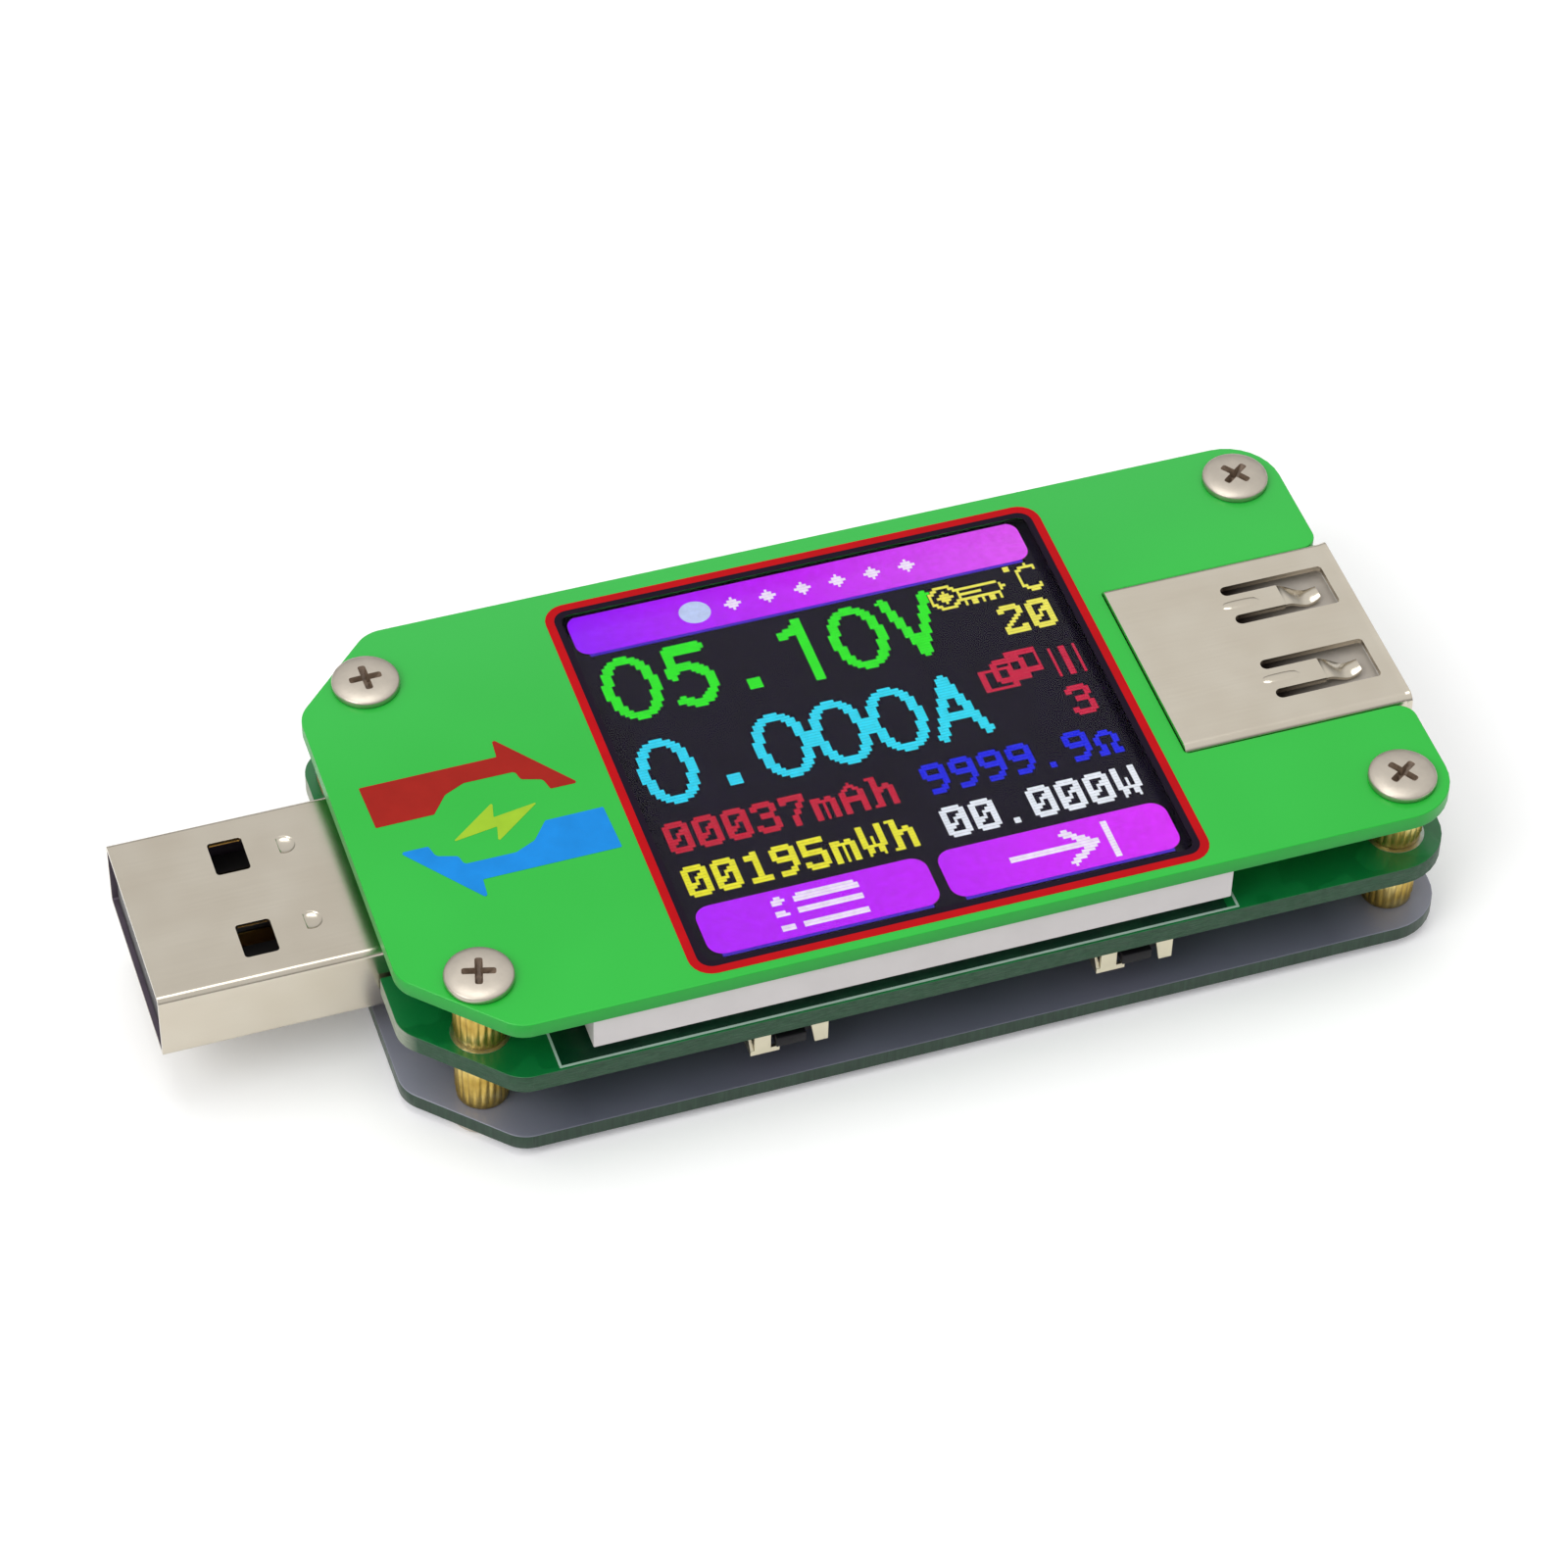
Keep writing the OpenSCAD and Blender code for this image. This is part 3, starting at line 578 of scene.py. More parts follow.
def welded(mesh):
    return reshaped(mesh, weld, face_out)


def block(low, high):
    x, y, z = zip(low, high)
    verts = [(x[i], y[j], z[k]) for i in (0, 1) for j in (0, 1) for k in (0, 1)]
    faces = [(0, 1, 3, 2), (4, 6, 7, 5), (0, 4, 5, 1), (2, 3, 7, 6), (0, 2, 6, 4), (1, 5, 7, 3)]
    return from_faces(verts, faces)


def joined(meshes):
    """One mesh from several, with no welding."""
    bm = bmesh.new()
    for mesh in meshes:
        bm.from_mesh(mesh)
    result = bpy.data.meshes.new("joined")
    bm.to_mesh(result)
    bm.free()
    return result


def moved(mesh, x=0, y=0, z=0, turn=0, flip=False):
    """Copy of a mesh, turned about Z, mirrored top to bottom if flip, then moved."""
    copy = mesh.copy()
    if flip:
        copy.transform(Matrix.Rotation(math.pi, 4, "X"))
    copy.transform(Matrix.Translation((x, y, z)) @ Matrix.Rotation(math.radians(turn), 4, "Z"))
    return copy


def modified(mesh, kind, **settings):
    """The mesh after one modifier."""
    obj = linked(mesh)
    configure(obj.modifiers.new("step", kind), **settings)
    return evaluated(obj)


def combined(mesh, other, how="DIFFERENCE"):
    """Boolean of two meshes."""
    tool = linked(other)
    result = modified(mesh, "BOOLEAN", operation=how, solver="EXACT", object=tool)
    bpy.data.objects.remove(tool)
    return result


def softened(mesh, width, segments=2, limit=32):
    """Rounds a mesh's edges where its faces turn by more than limit degrees."""
    return modified(mesh, "BEVEL", width=width, segments=segments, limit_method="ANGLE",
                    angle_limit=math.radians(limit), use_clamp_overlap=True)


def simplified(mesh):
    """Joins coplanar triangles, so that edges can be rounded."""
    def dissolve(bm):
        bmesh.ops.dissolve_limit(bm, angle_limit=math.radians(1), verts=bm.verts, edges=bm.edges)
    return reshaped(mesh, lambda bm: weld(bm, 0.001), dissolve)


def painted(mesh, test):
    """Gives the faces that pass test(centre, normal) the second material."""
    for face in mesh.polygons:
        if test(face.center, face.normal):
            face.material_index = 1
    return mesh


def piece(name, mesh, materials, node, replace=True, crease=35):
    """Finished object from a mesh in millimetres: it rides with its CAD node and stands for it."""
    mesh.transform(Matrix.Scale(MM, 4))
    for material in materials if isinstance(materials, (list, tuple)) else [materials]:
        mesh.materials.append(material)

    def smooth(bm):
        for face in bm.faces:
            face.smooth = True
        for edge in bm.edges:
            edge.smooth = len(edge.link_faces) == 2 and edge.calc_face_angle(0) < math.radians(crease)
    obj = linked(modified(reshaped(mesh, smooth), "WEIGHTED_NORMAL", keep_sharp=True), name)
    obj.data.name = name
    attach(obj, frame["nodes"][node]["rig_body"])
    if replace:
        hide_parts(node)
    return obj


def extra(name, mesh, materials, node):
    """Finished object that adds to its CAD node and doesn't stand for it."""
    return piece(name, mesh, materials, node, replace=False)


def cad_mesh(node):
    """Copy of a CAD node's mesh in millimetres, simplified."""
    mesh = frame["nodes"][node].data.copy()
    mesh.materials.clear()
    mesh.transform(Matrix.Scale(1 / MM, 4))
    return simplified(mesh)


def refined(node, material, width, segments=2):
    """The CAD node's own shape with rounded edges."""
    mesh = softened(cad_mesh(node), width, segments)
    for polygon in mesh.polygons:
        polygon.material_index = 0
    return piece(node + "_finish", mesh, material, node)


def refine_all(*rows):
    """Rows are (names of CAD nodes, their material, edge width and, if not 2, edge segments)."""
    for nodes, *finish in rows:
        for node in nodes.split():
            refined(node, *finish)


# ---- Plates ----

COVER_LOW, COVER_HIGH = span("top_cover")
EDGE_Y = COVER_HIGH.y
# Turn of each screw's cross in degrees, by whether x and y are positive
TURNS = {(False, False): -15, (False, True): 1, (True, False): 33, (True, True): 36}
SCREWS = [((low + high) / 2, TURNS[low.x > 0, low.y > 0]) for low, high in solids("top_screws")]
HEAD_H = 0.6
HOLE_R = 1.1
CHAMFER = 5.2
SOCKET_LOW, SOCKET_HIGH = span("usb_socket_shell")
SOCKET_Y = (SOCKET_LOW.y + SOCKET_HIGH.y) / 2
SOCKET_W = 13.1


def plate_corners():
    """Outline that the plates share, without the socket's notch."""
    x0, x1, y = COVER_LOW.x, COVER_HIGH.x, EDGE_Y
    plug_end = [(x0 + CHAMFER, y, 2), (x0, y - CHAMFER, 2), (x0, CHAMFER - y, 2), (x0 + CHAMFER, -y, 2)]
    return [(x1, y, 3.1)] + plug_end + [(x1, -y, 3.1)]


def notch(x_start, width, mouth):
    """Corners of the socket's notch, from its lower mouth to its upper one."""
    low, high = SOCKET_Y - width / 2, SOCKET_Y + width / 2
    x1 = COVER_HIGH.x
    return [(x1, low, mouth), (x_start, low, 0.25), (x_start, high, 0.25), (x1, high, mouth)]


def screw_holes():
    return [circle(place.x, place.y, HOLE_R) for place, _ in SCREWS]


# ---- Cover sheet ----

PANEL_LOW, PANEL_HIGH = span("display_polariser")
PITCH = 0.208
PICTURE_X = PANEL_HIGH.x - 1.05 - 128 * PITCH
PICTURE_Y = 64 * PITCH
BORDER = (PICTURE_X - 1.74, -14.7, PANEL_HIGH.x + 0.1, 14.1)
BORDER_W = 0.5
INK_T = 0.015


def window(inset, r):
    x0, y0, x1, y1 = BORDER
    return rectangle(x0 + inset, y0 + inset, x1 - inset, y1 - inset, r)


def add_cover():
    z0, z1 = COVER_LOW.z, COVER_HIGH.z
    outline = rounded(plate_corners() + notch(SOCKET_LOW.x - 0.03, SOCKET_W + 0.08, 1.0), 8)
    sheet = slab([outline, window(BORDER_W / 2, 1)] + screw_holes(), z0, z1, 0.06, 2)
    piece("cover_sheet", edge_painted(sheet), [cover_green(), cover_edge()], "top_cover")
    pane = slab([window(BORDER_W / 2 + 0.01, 0.99)], z0 + 2 * INK_T, z1 - 0.002, 0.02)
    extra("cover_window", pane, window_clear(), "top_cover")
    opening = rectangle(PICTURE_X - 0.5, -PICTURE_Y - 0.4, PANEL_HIGH.x - 0.5, PICTURE_Y + 0.35, 0.3)
    mask = slab([window(BORDER_W / 2 + 0.02, 0.98), opening], z0 + 0.002, z0 + INK_T, 0.002)
    extra("window_mask", mask, panel_black(), "top_cover")
    ring = layer([window(BORDER_W - 0.1, 0.9), window(BORDER_W + 0.38, 0.6)], z1, INK_T / 2, 0.003)
    extra("window_ring", ring, print_ink("ring_black", (24, 12, 30)), "top_cover")
    border = layer([window(0, 1.3), window(BORDER_W, 0.85)], z1, INK_T, 0.004)
    extra("window_border", border, print_ink("border_red", (178, 6, 16)), "top_cover")


def arrow_outline():
    """Upper arrow: shaft to the right, straight barb above, and a stepped inner side round the bolt."""
    return rounded([
        (-21.9, 3.8, 0.08), (-14.1, 3.85, 0.08), (-14.0, 5.25, 0.12), (-10.35, 0.7, 0.12),
        (-11.95, 0.7, 0.1), (-12.15, 1.5, 0.35), (-13.3, 1.85, 0.25), (-13.45, 2.5, 0.25),
        (-16.35, 2.5, 0.4), (-17.55, 1.95, 0.5), (-18.5, 0.72, 0.15), (-21.78, 0.68, 0.08)])


def bolt_outline(cx, cy):
    """Lightning bolt lying on its side, the same turned half round."""
    half = [(-2.6, -0.75, 0.05), (0.25, 1.45, 0.08), (0.0, 0.35, 0.05)]
    corners = half + [(-x, -y, r) for x, y, r in half]
    return rounded([(cx + x, cy + y, r) for x, y, r in corners])


def add_cover_prints():
    """Two arrows turned half round about one centre, with a bolt between them."""
    cx, cy = -15.7, -0.38
    red = arrow_outline()
    blue = [(2 * cx - x, 2 * cy - y) for x, y in red]
    for name, outline, colour in (
            ("arrow_red", red, (152, 32, 24)), ("arrow_blue", blue, (24, 130, 210)),
            ("bolt", bolt_outline(cx + 0.2, cy - 0.4), (150, 188, 46))):
        mesh = layer([outline], COVER_HIGH.z, INK_T, 0.004)
        extra("cover_" + name, mesh, print_ink("ink_" + name, colour), "top_cover")


# ---- Board and bottom sheet ----

def add_board():
    low, high = span("main_board")
    outline = rounded([*plate_corners()[:3],
                       (COVER_LOW.x, 6.15, 0.1), (-17.4, 6.15, 0.3),
                       (-17.4, -6.15, 0.3), (COVER_LOW.x, -6.15, 0.1),
                       *plate_corners()[3:], *notch(SOCKET_LOW.x - 0.15, SOCKET_W + 0.3, 0.5)], 8)
    board = slab([outline] + screw_holes(), low.z, high.z, 0.03)
    piece("circuit_board_finish", edge_painted(board), [board_mask(), board_core()], "main_board")
    add_silk(low.z, high.z)
    add_pads(low.z, high.z)


def add_silk(z0, z1):
    """White lines, a dark sheet of painted shade at the display's place on top, and marks beside the chips
    below.
    """
    line, thick, gap, mark = 0.15, 0.012, 0.45, 0.12
    x0, x1, y = -16.2, 22.45, EDGE_Y - line
    y_in = y - line
    slot_low, slot_high = SOCKET_Y - SOCKET_W / 2 - 0.4, SOCKET_Y + SOCKET_W / 2 + 0.4
    bars = [(x0, -y, x1, -y_in), (x0, y_in, x1, y), (x0, -y_in, x0 + line, y_in),
            (x1 - line, -y_in, x1, slot_low), (x1 - line, slot_high, x1, y_in)]
    parts = [layer([rectangle(*bar, 0.05, 2)], z1, thick, 0.002) for bar in bars]
    for node in "microcontroller flash_memory voltage_regulator inductor crystal current_shunt".split():
        low, high = span(node)
        rings = [rectangle(low.x - by, low.y - by, high.x + by, high.y + by, r, 3)
                 for by, r in ((gap, 0.2), (gap - mark, 0.1))]
        parts.append(layer(rings, z0, -thick, 0.002))
    ink = plastic("silk_white", (168, 192, 180), 0.5, 0.06, 0.1, 0.003)
    extra("board_silk", joined(parts), ink, "main_board")
    # Painted shade: a dark sheet of mask where the display frame and cover shade the board.
    field = layer([rectangle(x0 + line, -y_in, SOCKET_LOW.x - 0.3, y_in, 0.05, 2)], z1, thick / 2, 0.002)
    extra("board_shade_sheet", field, board_mask("board_shade_sheet", (2, 46, 28), (4, 54, 32)), "main_board")


def add_pads(z0, z1):
    """Tinned rings round the screw holes on both sides."""
    parts = [layer([circle(place.x, place.y, r), circle(place.x, place.y, 1.37)], z, thick, 0.006)
             for place, _ in SCREWS for z, thick, r in ((z1, 0.025, 1.66), (z0, -0.025, 1.9))]
    extra("board_rings", joined(parts), solder(), "main_board")


def add_bottom():
    low, high = span("bottom_cover")
    sheet = slab([rounded(plate_corners(), 8)] + screw_holes(), low.z, high.z, 0.06, 2)
    piece("bottom_sheet", edge_painted(sheet), [bottom_slate(), bottom_edge()], "bottom_cover")


# ---- Standoffs and screws ----

def standoff(z0, z1, stud_z):
    """Knurled spacer with smooth collars, a bore from above and a stud below if stud_z is under z0."""
    ridges, steps_each, depth = 22, 6, 0.1
    collar, r, neck, rim = 0.42, 1.5, 1.44, 0.1
    bore, stud, lead = 1.0, 0.97, 0.12
    steps = ridges * steps_each
    has_stud = stud_z < z0
    floor = z0 + 0.4 if has_stud else z0
    # Points are (radius, z, share of the groove's depth), the upper half the lower one mirrored
    half = [(neck - rim, z0, 0), (neck, z0 + rim, 0), (neck, z0 + collar, 0), (r, z0 + collar + rim, 1)]
    profile = half + [(rad, z0 + z1 - z, cut) for rad, z, cut in reversed(half)]
    profile += [(bore + lead, z1, 0), (bore, z1 - lead, 0), (bore, floor, 0)]
    if has_stud:
        tip = [(0, stud_z, 0), (0.8, stud_z, 0), (stud, stud_z + 0.2, 0), (stud, z0, 0)]
        profile = tip + profile + [(0, floor, 0)]
    rings = []
    for i in range(steps):
        a = 2 * math.pi * i / steps
        groove = depth * (0.5 - 0.5 * math.cos(2 * math.pi * i / steps_each)) ** 1.5
        ring = [((rad - groove * cut) * math.cos(a), (rad - groove * cut) * math.sin(a), z)
                for rad, z, cut in profile]
        rings.append(ring if has_stud else ring + [ring[0]])
    count = len(rings[0])
    starts = [(i * count, (i + 1) % steps * count) for i in range(steps)]
    faces = [(a + j, b + j, b + j + 1, a + j + 1) for a, b in starts for j in range(count - 1)]

    def drop_slivers(bm):
        bmesh.ops.dissolve_degenerate(bm, edges=bm.edges, dist=0.0005)
    mesh = from_faces([p for ring in rings for p in ring], faces)
    return reshaped(mesh, weld, drop_slivers, face_out)


def add_standoffs():
    finish = brass()
    for node in ("upper_standoffs", "lower_standoffs"):
        low, high = span(node)
        body_low = span("main_board")[1].z if node == "upper_standoffs" else low.z
        one = standoff(body_low, high.z, low.z)
        parts = [moved(one, place.x, place.y, 0, 7 * i) for i, (place, _) in enumerate(SCREWS)]
        piece(node + "_finish", joined(parts), finish, node, crease=50)


def screw(shank):
    """Flat-topped screw with a tapered cross, its head on z = 0."""
    r, head, rim = 1.9, HEAD_H, 0.4
    crown = [(rho, head - (head - rim) * (rho / r) ** 4) for rho in (1.8, 1.6, 1.4, 1.2, 1.0, 0.8, 0.5)]
    thread = []
    turns = int((shank - 0.4) / 0.4)
    for i in range(turns):
        z = -shank + 0.3 + 0.4 * i
        thread += [(0.8, z), (0.97, z + 0.15), (0.97, z + 0.22), (0.8, z + 0.37)]
    under = [(0.9, -0.02), (0.97, 0), (r - 0.12, 0), (r - 0.02, 0.06), (r, 0.14)]
    side = [(r, rim - 0.1), (r - 0.03, rim - 0.01)]
    profile = [(0, -shank), (0.68, -shank), *thread, *under, *side, *crown, (0, head)]
    body = lathe(profile, 56)
    arms = []
    for turn in (0, 90):
        rings = []
        for z, length, width in ((head - 0.55, 0.35, 0.12), (head - 0.2, 0.8, 0.17), (head + 0.1, 1.0, 0.24)):
            rings.append([(x, y, z) for x, y in rectangle(-length, -width, length, width, width * 0.6, 3)])
        arms.append(moved(loft(rings), turn=turn))
    cut = combined(body, combined(arms[0], arms[1], "UNION"))
    # The faces inside the cross get the second material, painted shade.
    return painted(cut, lambda c, n: c.xy.length < 1.05 and c.z > -0.12 and (c.z < head - 0.12 or n.z < 0.8))


def add_screws():
    # The second finish is painted shade for the cross's floor.
    finishes = [screw_steel(), recess_shade()]
    for node, flip in (("top_screws", False), ("bottom_screws", True)):
        low, high = span(node)
        shank = high.z - low.z - HEAD_H
        seat = low.z + HEAD_H if flip else high.z - HEAD_H
        one = screw(shank)
        parts = [moved(one, place.x, place.y, seat, turn, flip) for place, turn in SCREWS]
        piece(node + "_finish", joined(parts), finishes, node, crease=38)


# ---- USB plug ----

PLUG_LOW, PLUG_HIGH = span("usb_plug_shell")
PLUG_W, PLUG_H, PLUG_T = 12.0, 4.5, 0.3
PLUG_TOP = PLUG_LOW.z + PLUG_H


def section(x, yc, zc, half_w, half_h, r):
    """Rounded rectangle across X."""
    return [(x, y, z) for y, z in rectangle(yc - half_w, zc - half_h, yc + half_w, zc + half_h, r, 8)]


def tube(x0, x1, yc, zc, w, h, r, t):
    """Box tube along X with rounded long edges, t thick."""
    outer = [section(x, yc, zc, w / 2, h / 2, r) for x in (x0, x1)]
    inner = [section(x, yc, zc, w / 2 - t, h / 2 - t, max(r - t, 0.12)) for x in (x1, x0)]
    return looped(outer + inner)


def tool_slab(outline, z0, z1):
    """Straight-sided cutter between two heights."""
    return loft([[(x, y, z) for x, y in outline] for z in (z0, z1)])


def dent(cx, cy, r, depth, z):
    """Cutter for a shallow dent, round but for a flat towards the plug's mouth."""
    rings = []
    for size, sink in ((1.04, -0.2), (1, 0), (0.93, 0.35), (0.75, 0.7), (0.45, 0.93), (0.1, 1)):
        rings.append([(max(x, cx - 0.5 * r), y, z - depth * sink) for x, y in circle(cx, cy, r * size, 24)])
    return loft(rings)


def add_plug():
    low, high = PLUG_LOW, PLUG_HIGH
    x1 = high.x
    zc = low.z + PLUG_H / 2
    shell = tube(low.x, x1, 0, zc, PLUG_W, PLUG_H, 0.42, PLUG_T)
    window_x, window_l, half_w = low.x + 5.2, 1.9, 1.2
    for y in (-3.1, 3.1):
        hole = rectangle(window_x, y - half_w, window_x + window_l, y + half_w, 0.2, 4)
        shell = combined(shell, tool_slab(hole, low.z - 1, PLUG_TOP + 1))
    dent_x, dent_r, dent_depth = low.x + 9.2, 0.64, 0.12
    for y in (3.05, -2.7):
        shell = combined(shell, dent(dent_x, y, dent_r, dent_depth, PLUG_TOP))
    seam, seam_depth = 0.04, 0.12
    shell = combined(shell, block((low.x - 1, -seam, low.z - 1), (x1 + 1, seam, low.z + seam_depth)))
    board_top = span("main_board")[1].z
    ear_x0, ear_x1 = x1 - 3.6, x1 - 1.6
    for y in (-6.7, 6.7):
        ear = block((ear_x0, y - 0.72, board_top), (ear_x1, y + 0.7, board_top + PLUG_T))
        shell = combined(shell, ear, "UNION")
    shell = softened(simplified(shell), 0.05, 2, 40)
    half, lower, upper = PLUG_W / 2 - PLUG_T + 0.02, low.z + PLUG_T - 0.02, PLUG_TOP - PLUG_T + 0.02
    # Painted shade: the tube's inner faces get the darker second material.
    painted(shell, lambda c, n: abs(c.y) < half and lower < c.z < upper and abs(n.x) < 0.5)
    piece("usb_plug_shell_finish", shell, [nickel(), shell_inside_shade()], "usb_plug_shell", crease=40)
    refined("usb_plug_insulator", plastic("plug_plastic", (30, 28, 28), 0.4, 0.1), 0.05)
    refined("usb_plug_contacts", CONTACT_GOLD, 0.03)


# ---- USB socket ----

def flare(x0, x1, zc, h, r):
    """Rim of the socket's mouth, curling outwards a little."""
    def ring(x, out):
        return section(x, SOCKET_Y, zc, SOCKET_W / 2 + out, h / 2 + out, r + out)
    curl = [ring(x0 + (x1 - x0) * u, out) for u, out in ((0, -0.02), (0.35, 0.01), (0.7, 0.03), (1, 0.06))]
    return looped(curl + [ring(x1, -0.25), ring(x0, -0.34)])


def finger_path(x0, roof, flip):
    """Bent half of a spring finger: down from the roof and up again at its tip, or flipped about a height."""
    steps, length, thick = 12, 2.3, 0.25
    drop, lift, lowest = 0.62, 0.24, 0.72
    rings = []
    for i in range(steps + 1):
        u = i / steps
        fall = min(u / lowest, 1)
        rise = max((u - lowest) / (1 - lowest), 0)
        top = roof - drop * (3 * fall ** 2 - 2 * fall ** 3) + lift * rise ** 1.5
        half = 0.8 - 0.3 * u ** 0.8 - 1.2 * max(u - 0.85, 0) ** 1.6
        upper = [(-half, top - 0.04), (-half + 0.05, top), (half - 0.05, top), (half, top - 0.04)]
        lower = [(y, 2 * top - thick - z) for y, z in reversed(upper)]
        rings.append([(x0 + length * u, y, z) for y, z in upper + lower])
    mesh = loft(rings)
    if flip:
        mesh.transform(Matrix.Translation((0, 0, 2 * flip)) @ Matrix.Scale(-1, 4, (0, 0, 1)))
        mesh = welded(mesh)
    return mesh


def finger_window(x0, x1, bend):
    """Two round-ended slots beside the finger, joined beyond its bend."""
    half, strip, r = 1.525, 0.8, 0.34
    outer = [(x1, -half, 0.25), (x1, half, 0.25)]
    upper = [(x0, half, r), (x0, strip, r), (bend, strip, 0.05)]
    lower = [(bend, -strip, 0.05), (x0, -strip, r), (x0, -half, r)]
    return rounded(outer + upper + lower, 5)


def add_socket():
    z0 = span("main_board")[0].z
    h, t, r = 5.72, 0.35, 0.5
    x0, x1 = SOCKET_LOW.x, SOCKET_HIGH.x
    zc, roof = z0 + h / 2, z0 + h
    shell = tube(x0, x1, SOCKET_Y, zc, SOCKET_W, h, r, t)
    rim = 0.45
    shell = combined(shell, flare(x1 - rim, x1, zc, h, r), "UNION")
    root, end = COVER_HIGH.x - 7, COVER_HIGH.x - 0.8
    bend = root + 3.2
    ribs = []
    for y in (2.6, -3.46):
        hole = [(px, y + py) for px, py in finger_window(root, end, bend)]
        shell = combined(shell, tool_slab(hole, z0 - 1, roof + 1))
        for flip in (0, zc):
            shell = combined(shell, moved(finger_path(bend - 0.02, roof, flip), y=y), "UNION")
        ribs.append(rib(root + 0.75, y, roof))
    board_top = span("main_board")[1].z
    ear_x0, ear_x1, ear_out, ear_half = x0 + 2.2, x0 + 4.2, SOCKET_W / 2 + 0.72, 0.78
    for yc in (SOCKET_Y - ear_out, SOCKET_Y + ear_out):
        ear = block((ear_x0, yc - ear_half, board_top), (ear_x1, yc + ear_half, board_top + t))
        shell = combined(shell, ear, "UNION")
    shell = softened(simplified(shell), 0.05, 2, 40)
    # Painted light: the socket's copy of the nickel is brightened by 12 %.
    finish = nickel("socket_nickel_lit", 1.12)
    piece("usb_socket_shell_finish", joined([shell, *ribs]), finish, "usb_socket_shell", crease=40)
    refine_all(("usb_socket_insulator", socket_nylon(), 0.05), ("usb_socket_contacts", CONTACT_GOLD, 0.03))


def rib(x, y, z):
    """Low pressed rib along a finger's root, a flattened half capsule."""
    half, width = 1.2, 0.36
    rings = []
    for i in range(9):
        u = -1 + 2 * i / 8
        size = max(1 - u ** 4, 0.0) ** 0.5
        ring = [(x + half * u, y + width * size * math.cos(a), z - 0.02 + 0.1 * size * math.sin(a))
                for a in [math.pi * k / 8 for k in range(9)]]
        rings.append(ring + [(x + half * u, y, z - 0.05)])
    return welded(loft(rings))


# ---- Display ----

LIT_Z = PANEL_HIGH.z - 0.004
LIT_T = 0.014


def oval(cx, cy, rx, ry, steps=24, power=1.0):
    """Closed oval, boxier as the power falls below one."""
    points = arc(0, 0, 1, 1, 0, 360, steps)
    return [(cx + rx * math.copysign(abs(x) ** power, x), cy + ry * math.copysign(abs(y) ** power, y))
            for x, y in points]


# Strokes of each large sign on a 16 x 32 cell, y downwards
LARGE_STROKES = {
    "0": [oval(8, 16, 6.1, 10.4, 40, 0.88)],
    "1": [[(9.5, 5.5), (9.5, 26.5)], [(9.5, 5.5), (7.5, 8.3), (4.3, 9.6)]],
    "5": [[(13.2, 6), (4.6, 6), (3.8, 15.2)], arc(7.6, 19.4, 5.9, 6.9, -140, 130)],
    "V": [[(2, 5.5), (8, 26.5), (14, 5.5)]],
    "A": [[(1.8, 26.5), (8, 5.5), (14.2, 26.5)], [(4.4, 19.6), (11.6, 19.6)]],
}
# Small signs, side by side in 8-column cells
SMALL_SIGNS = "012357 9mAhWo."
SMALL_ROWS = """
.XXXXX. ...XX.. .XXXXX. .XXXXX. XXXXXXX XXXXXXX
XXXXXXX .XXXX.. XXXXXXX XXXXXXX XXXXXXX XXXXXXX
XX...XX .XXXX.. XX...XX XX...XX XX..... XX...XX
XX..XXX ...XX.. .....XX .....XX XX..... ....XX.
XX.XXXX ...XX.. ....XX. ..XXXX. XXXXXX. ....XX.
XX.X.XX ...XX.. ...XX.. ..XXXX. XXXXXXX ...XX..
XXXX.XX ...XX.. ..XX... .....XX .....XX ...XX..
XXX..XX ...XX.. .XX.... .....XX .....XX ..XX...
XX...XX ...XX.. XX...XX XX...XX XX...XX ..XX...
XXXXXXX .XXXXXX XXXXXXX XXXXXXX XXXXXXX ..XX...
.XXXXX. .XXXXXX XXXXXXX .XXXXX. .XXXXX. ..XX...

.XXXXX. ....... ...X... XXX.... XX...XX ....... .......
XXXXXXX ....... ..XXX.. .XX.... XX...XX ....... .......
XX...XX ....... .XX.XX. .XX.... XX...XX ..XXX.. .......
XX...XX XXX.XX. XX...XX .XX.XX. XX...XX .XXXXX. .......
XXXXXXX XXXXXXX XX...XX .XXXXXX XX.X.XX XX...XX .......
.XXXXXX XX.X.XX XXXXXXX .XXX.XX XX.X.XX XX...XX .......
.....XX XX.X.XX XXXXXXX .XX..XX XX.X.XX XX...XX .......
.....XX XX.X.XX XX...XX .XX..XX XXXXXXX .XX.XX. .......
....XX. XX.X.XX XX...XX .XX..XX .XX.XX. .XX.XX. .......
.XXXXX. XX.X.XX XX...XX .XX..XX .XX.XX. XXX.XXX ..XX...
.XXXX.. XX.X.XX XX...XX XXX..XX .X...X. XXX.XXX ..XX...
"""


def near(px, py, a, b):
    """Distance from a point to a line piece."""
    dx, dy = b[0] - a[0], b[1] - a[1]
    t = ((px - a[0]) * dx + (py - a[1]) * dy) / max(dx * dx + dy * dy, 1e-9)
    t = min(max(t, 0), 1)
    return math.hypot(px - a[0] - t * dx, py - a[1] - t * dy)


def draw(strokes, width, col=0, row=0):
    """Display pixels, as (row, column), that strokes of a width cover from a corner on."""
    lit = set()
    for a, b in [ends for stroke in strokes for ends in zip(stroke, stroke[1:])]:
        cols, rows = [range(int(min(ends) - width), int(max(ends) + width) + 1) for ends in zip(a, b)]
        lit |= {(row + r, col + c) for r in rows for c in cols if near(c + 0.5, r + 0.5, a, b) <= width / 2}
    return lit


def large_font():
    font = {sign: draw(strokes, 3.1) for sign, strokes in LARGE_STROKES.items()}
    font["."] = {(row, col) for row in range(22, 26) for col in range(6, 10)}
    return font


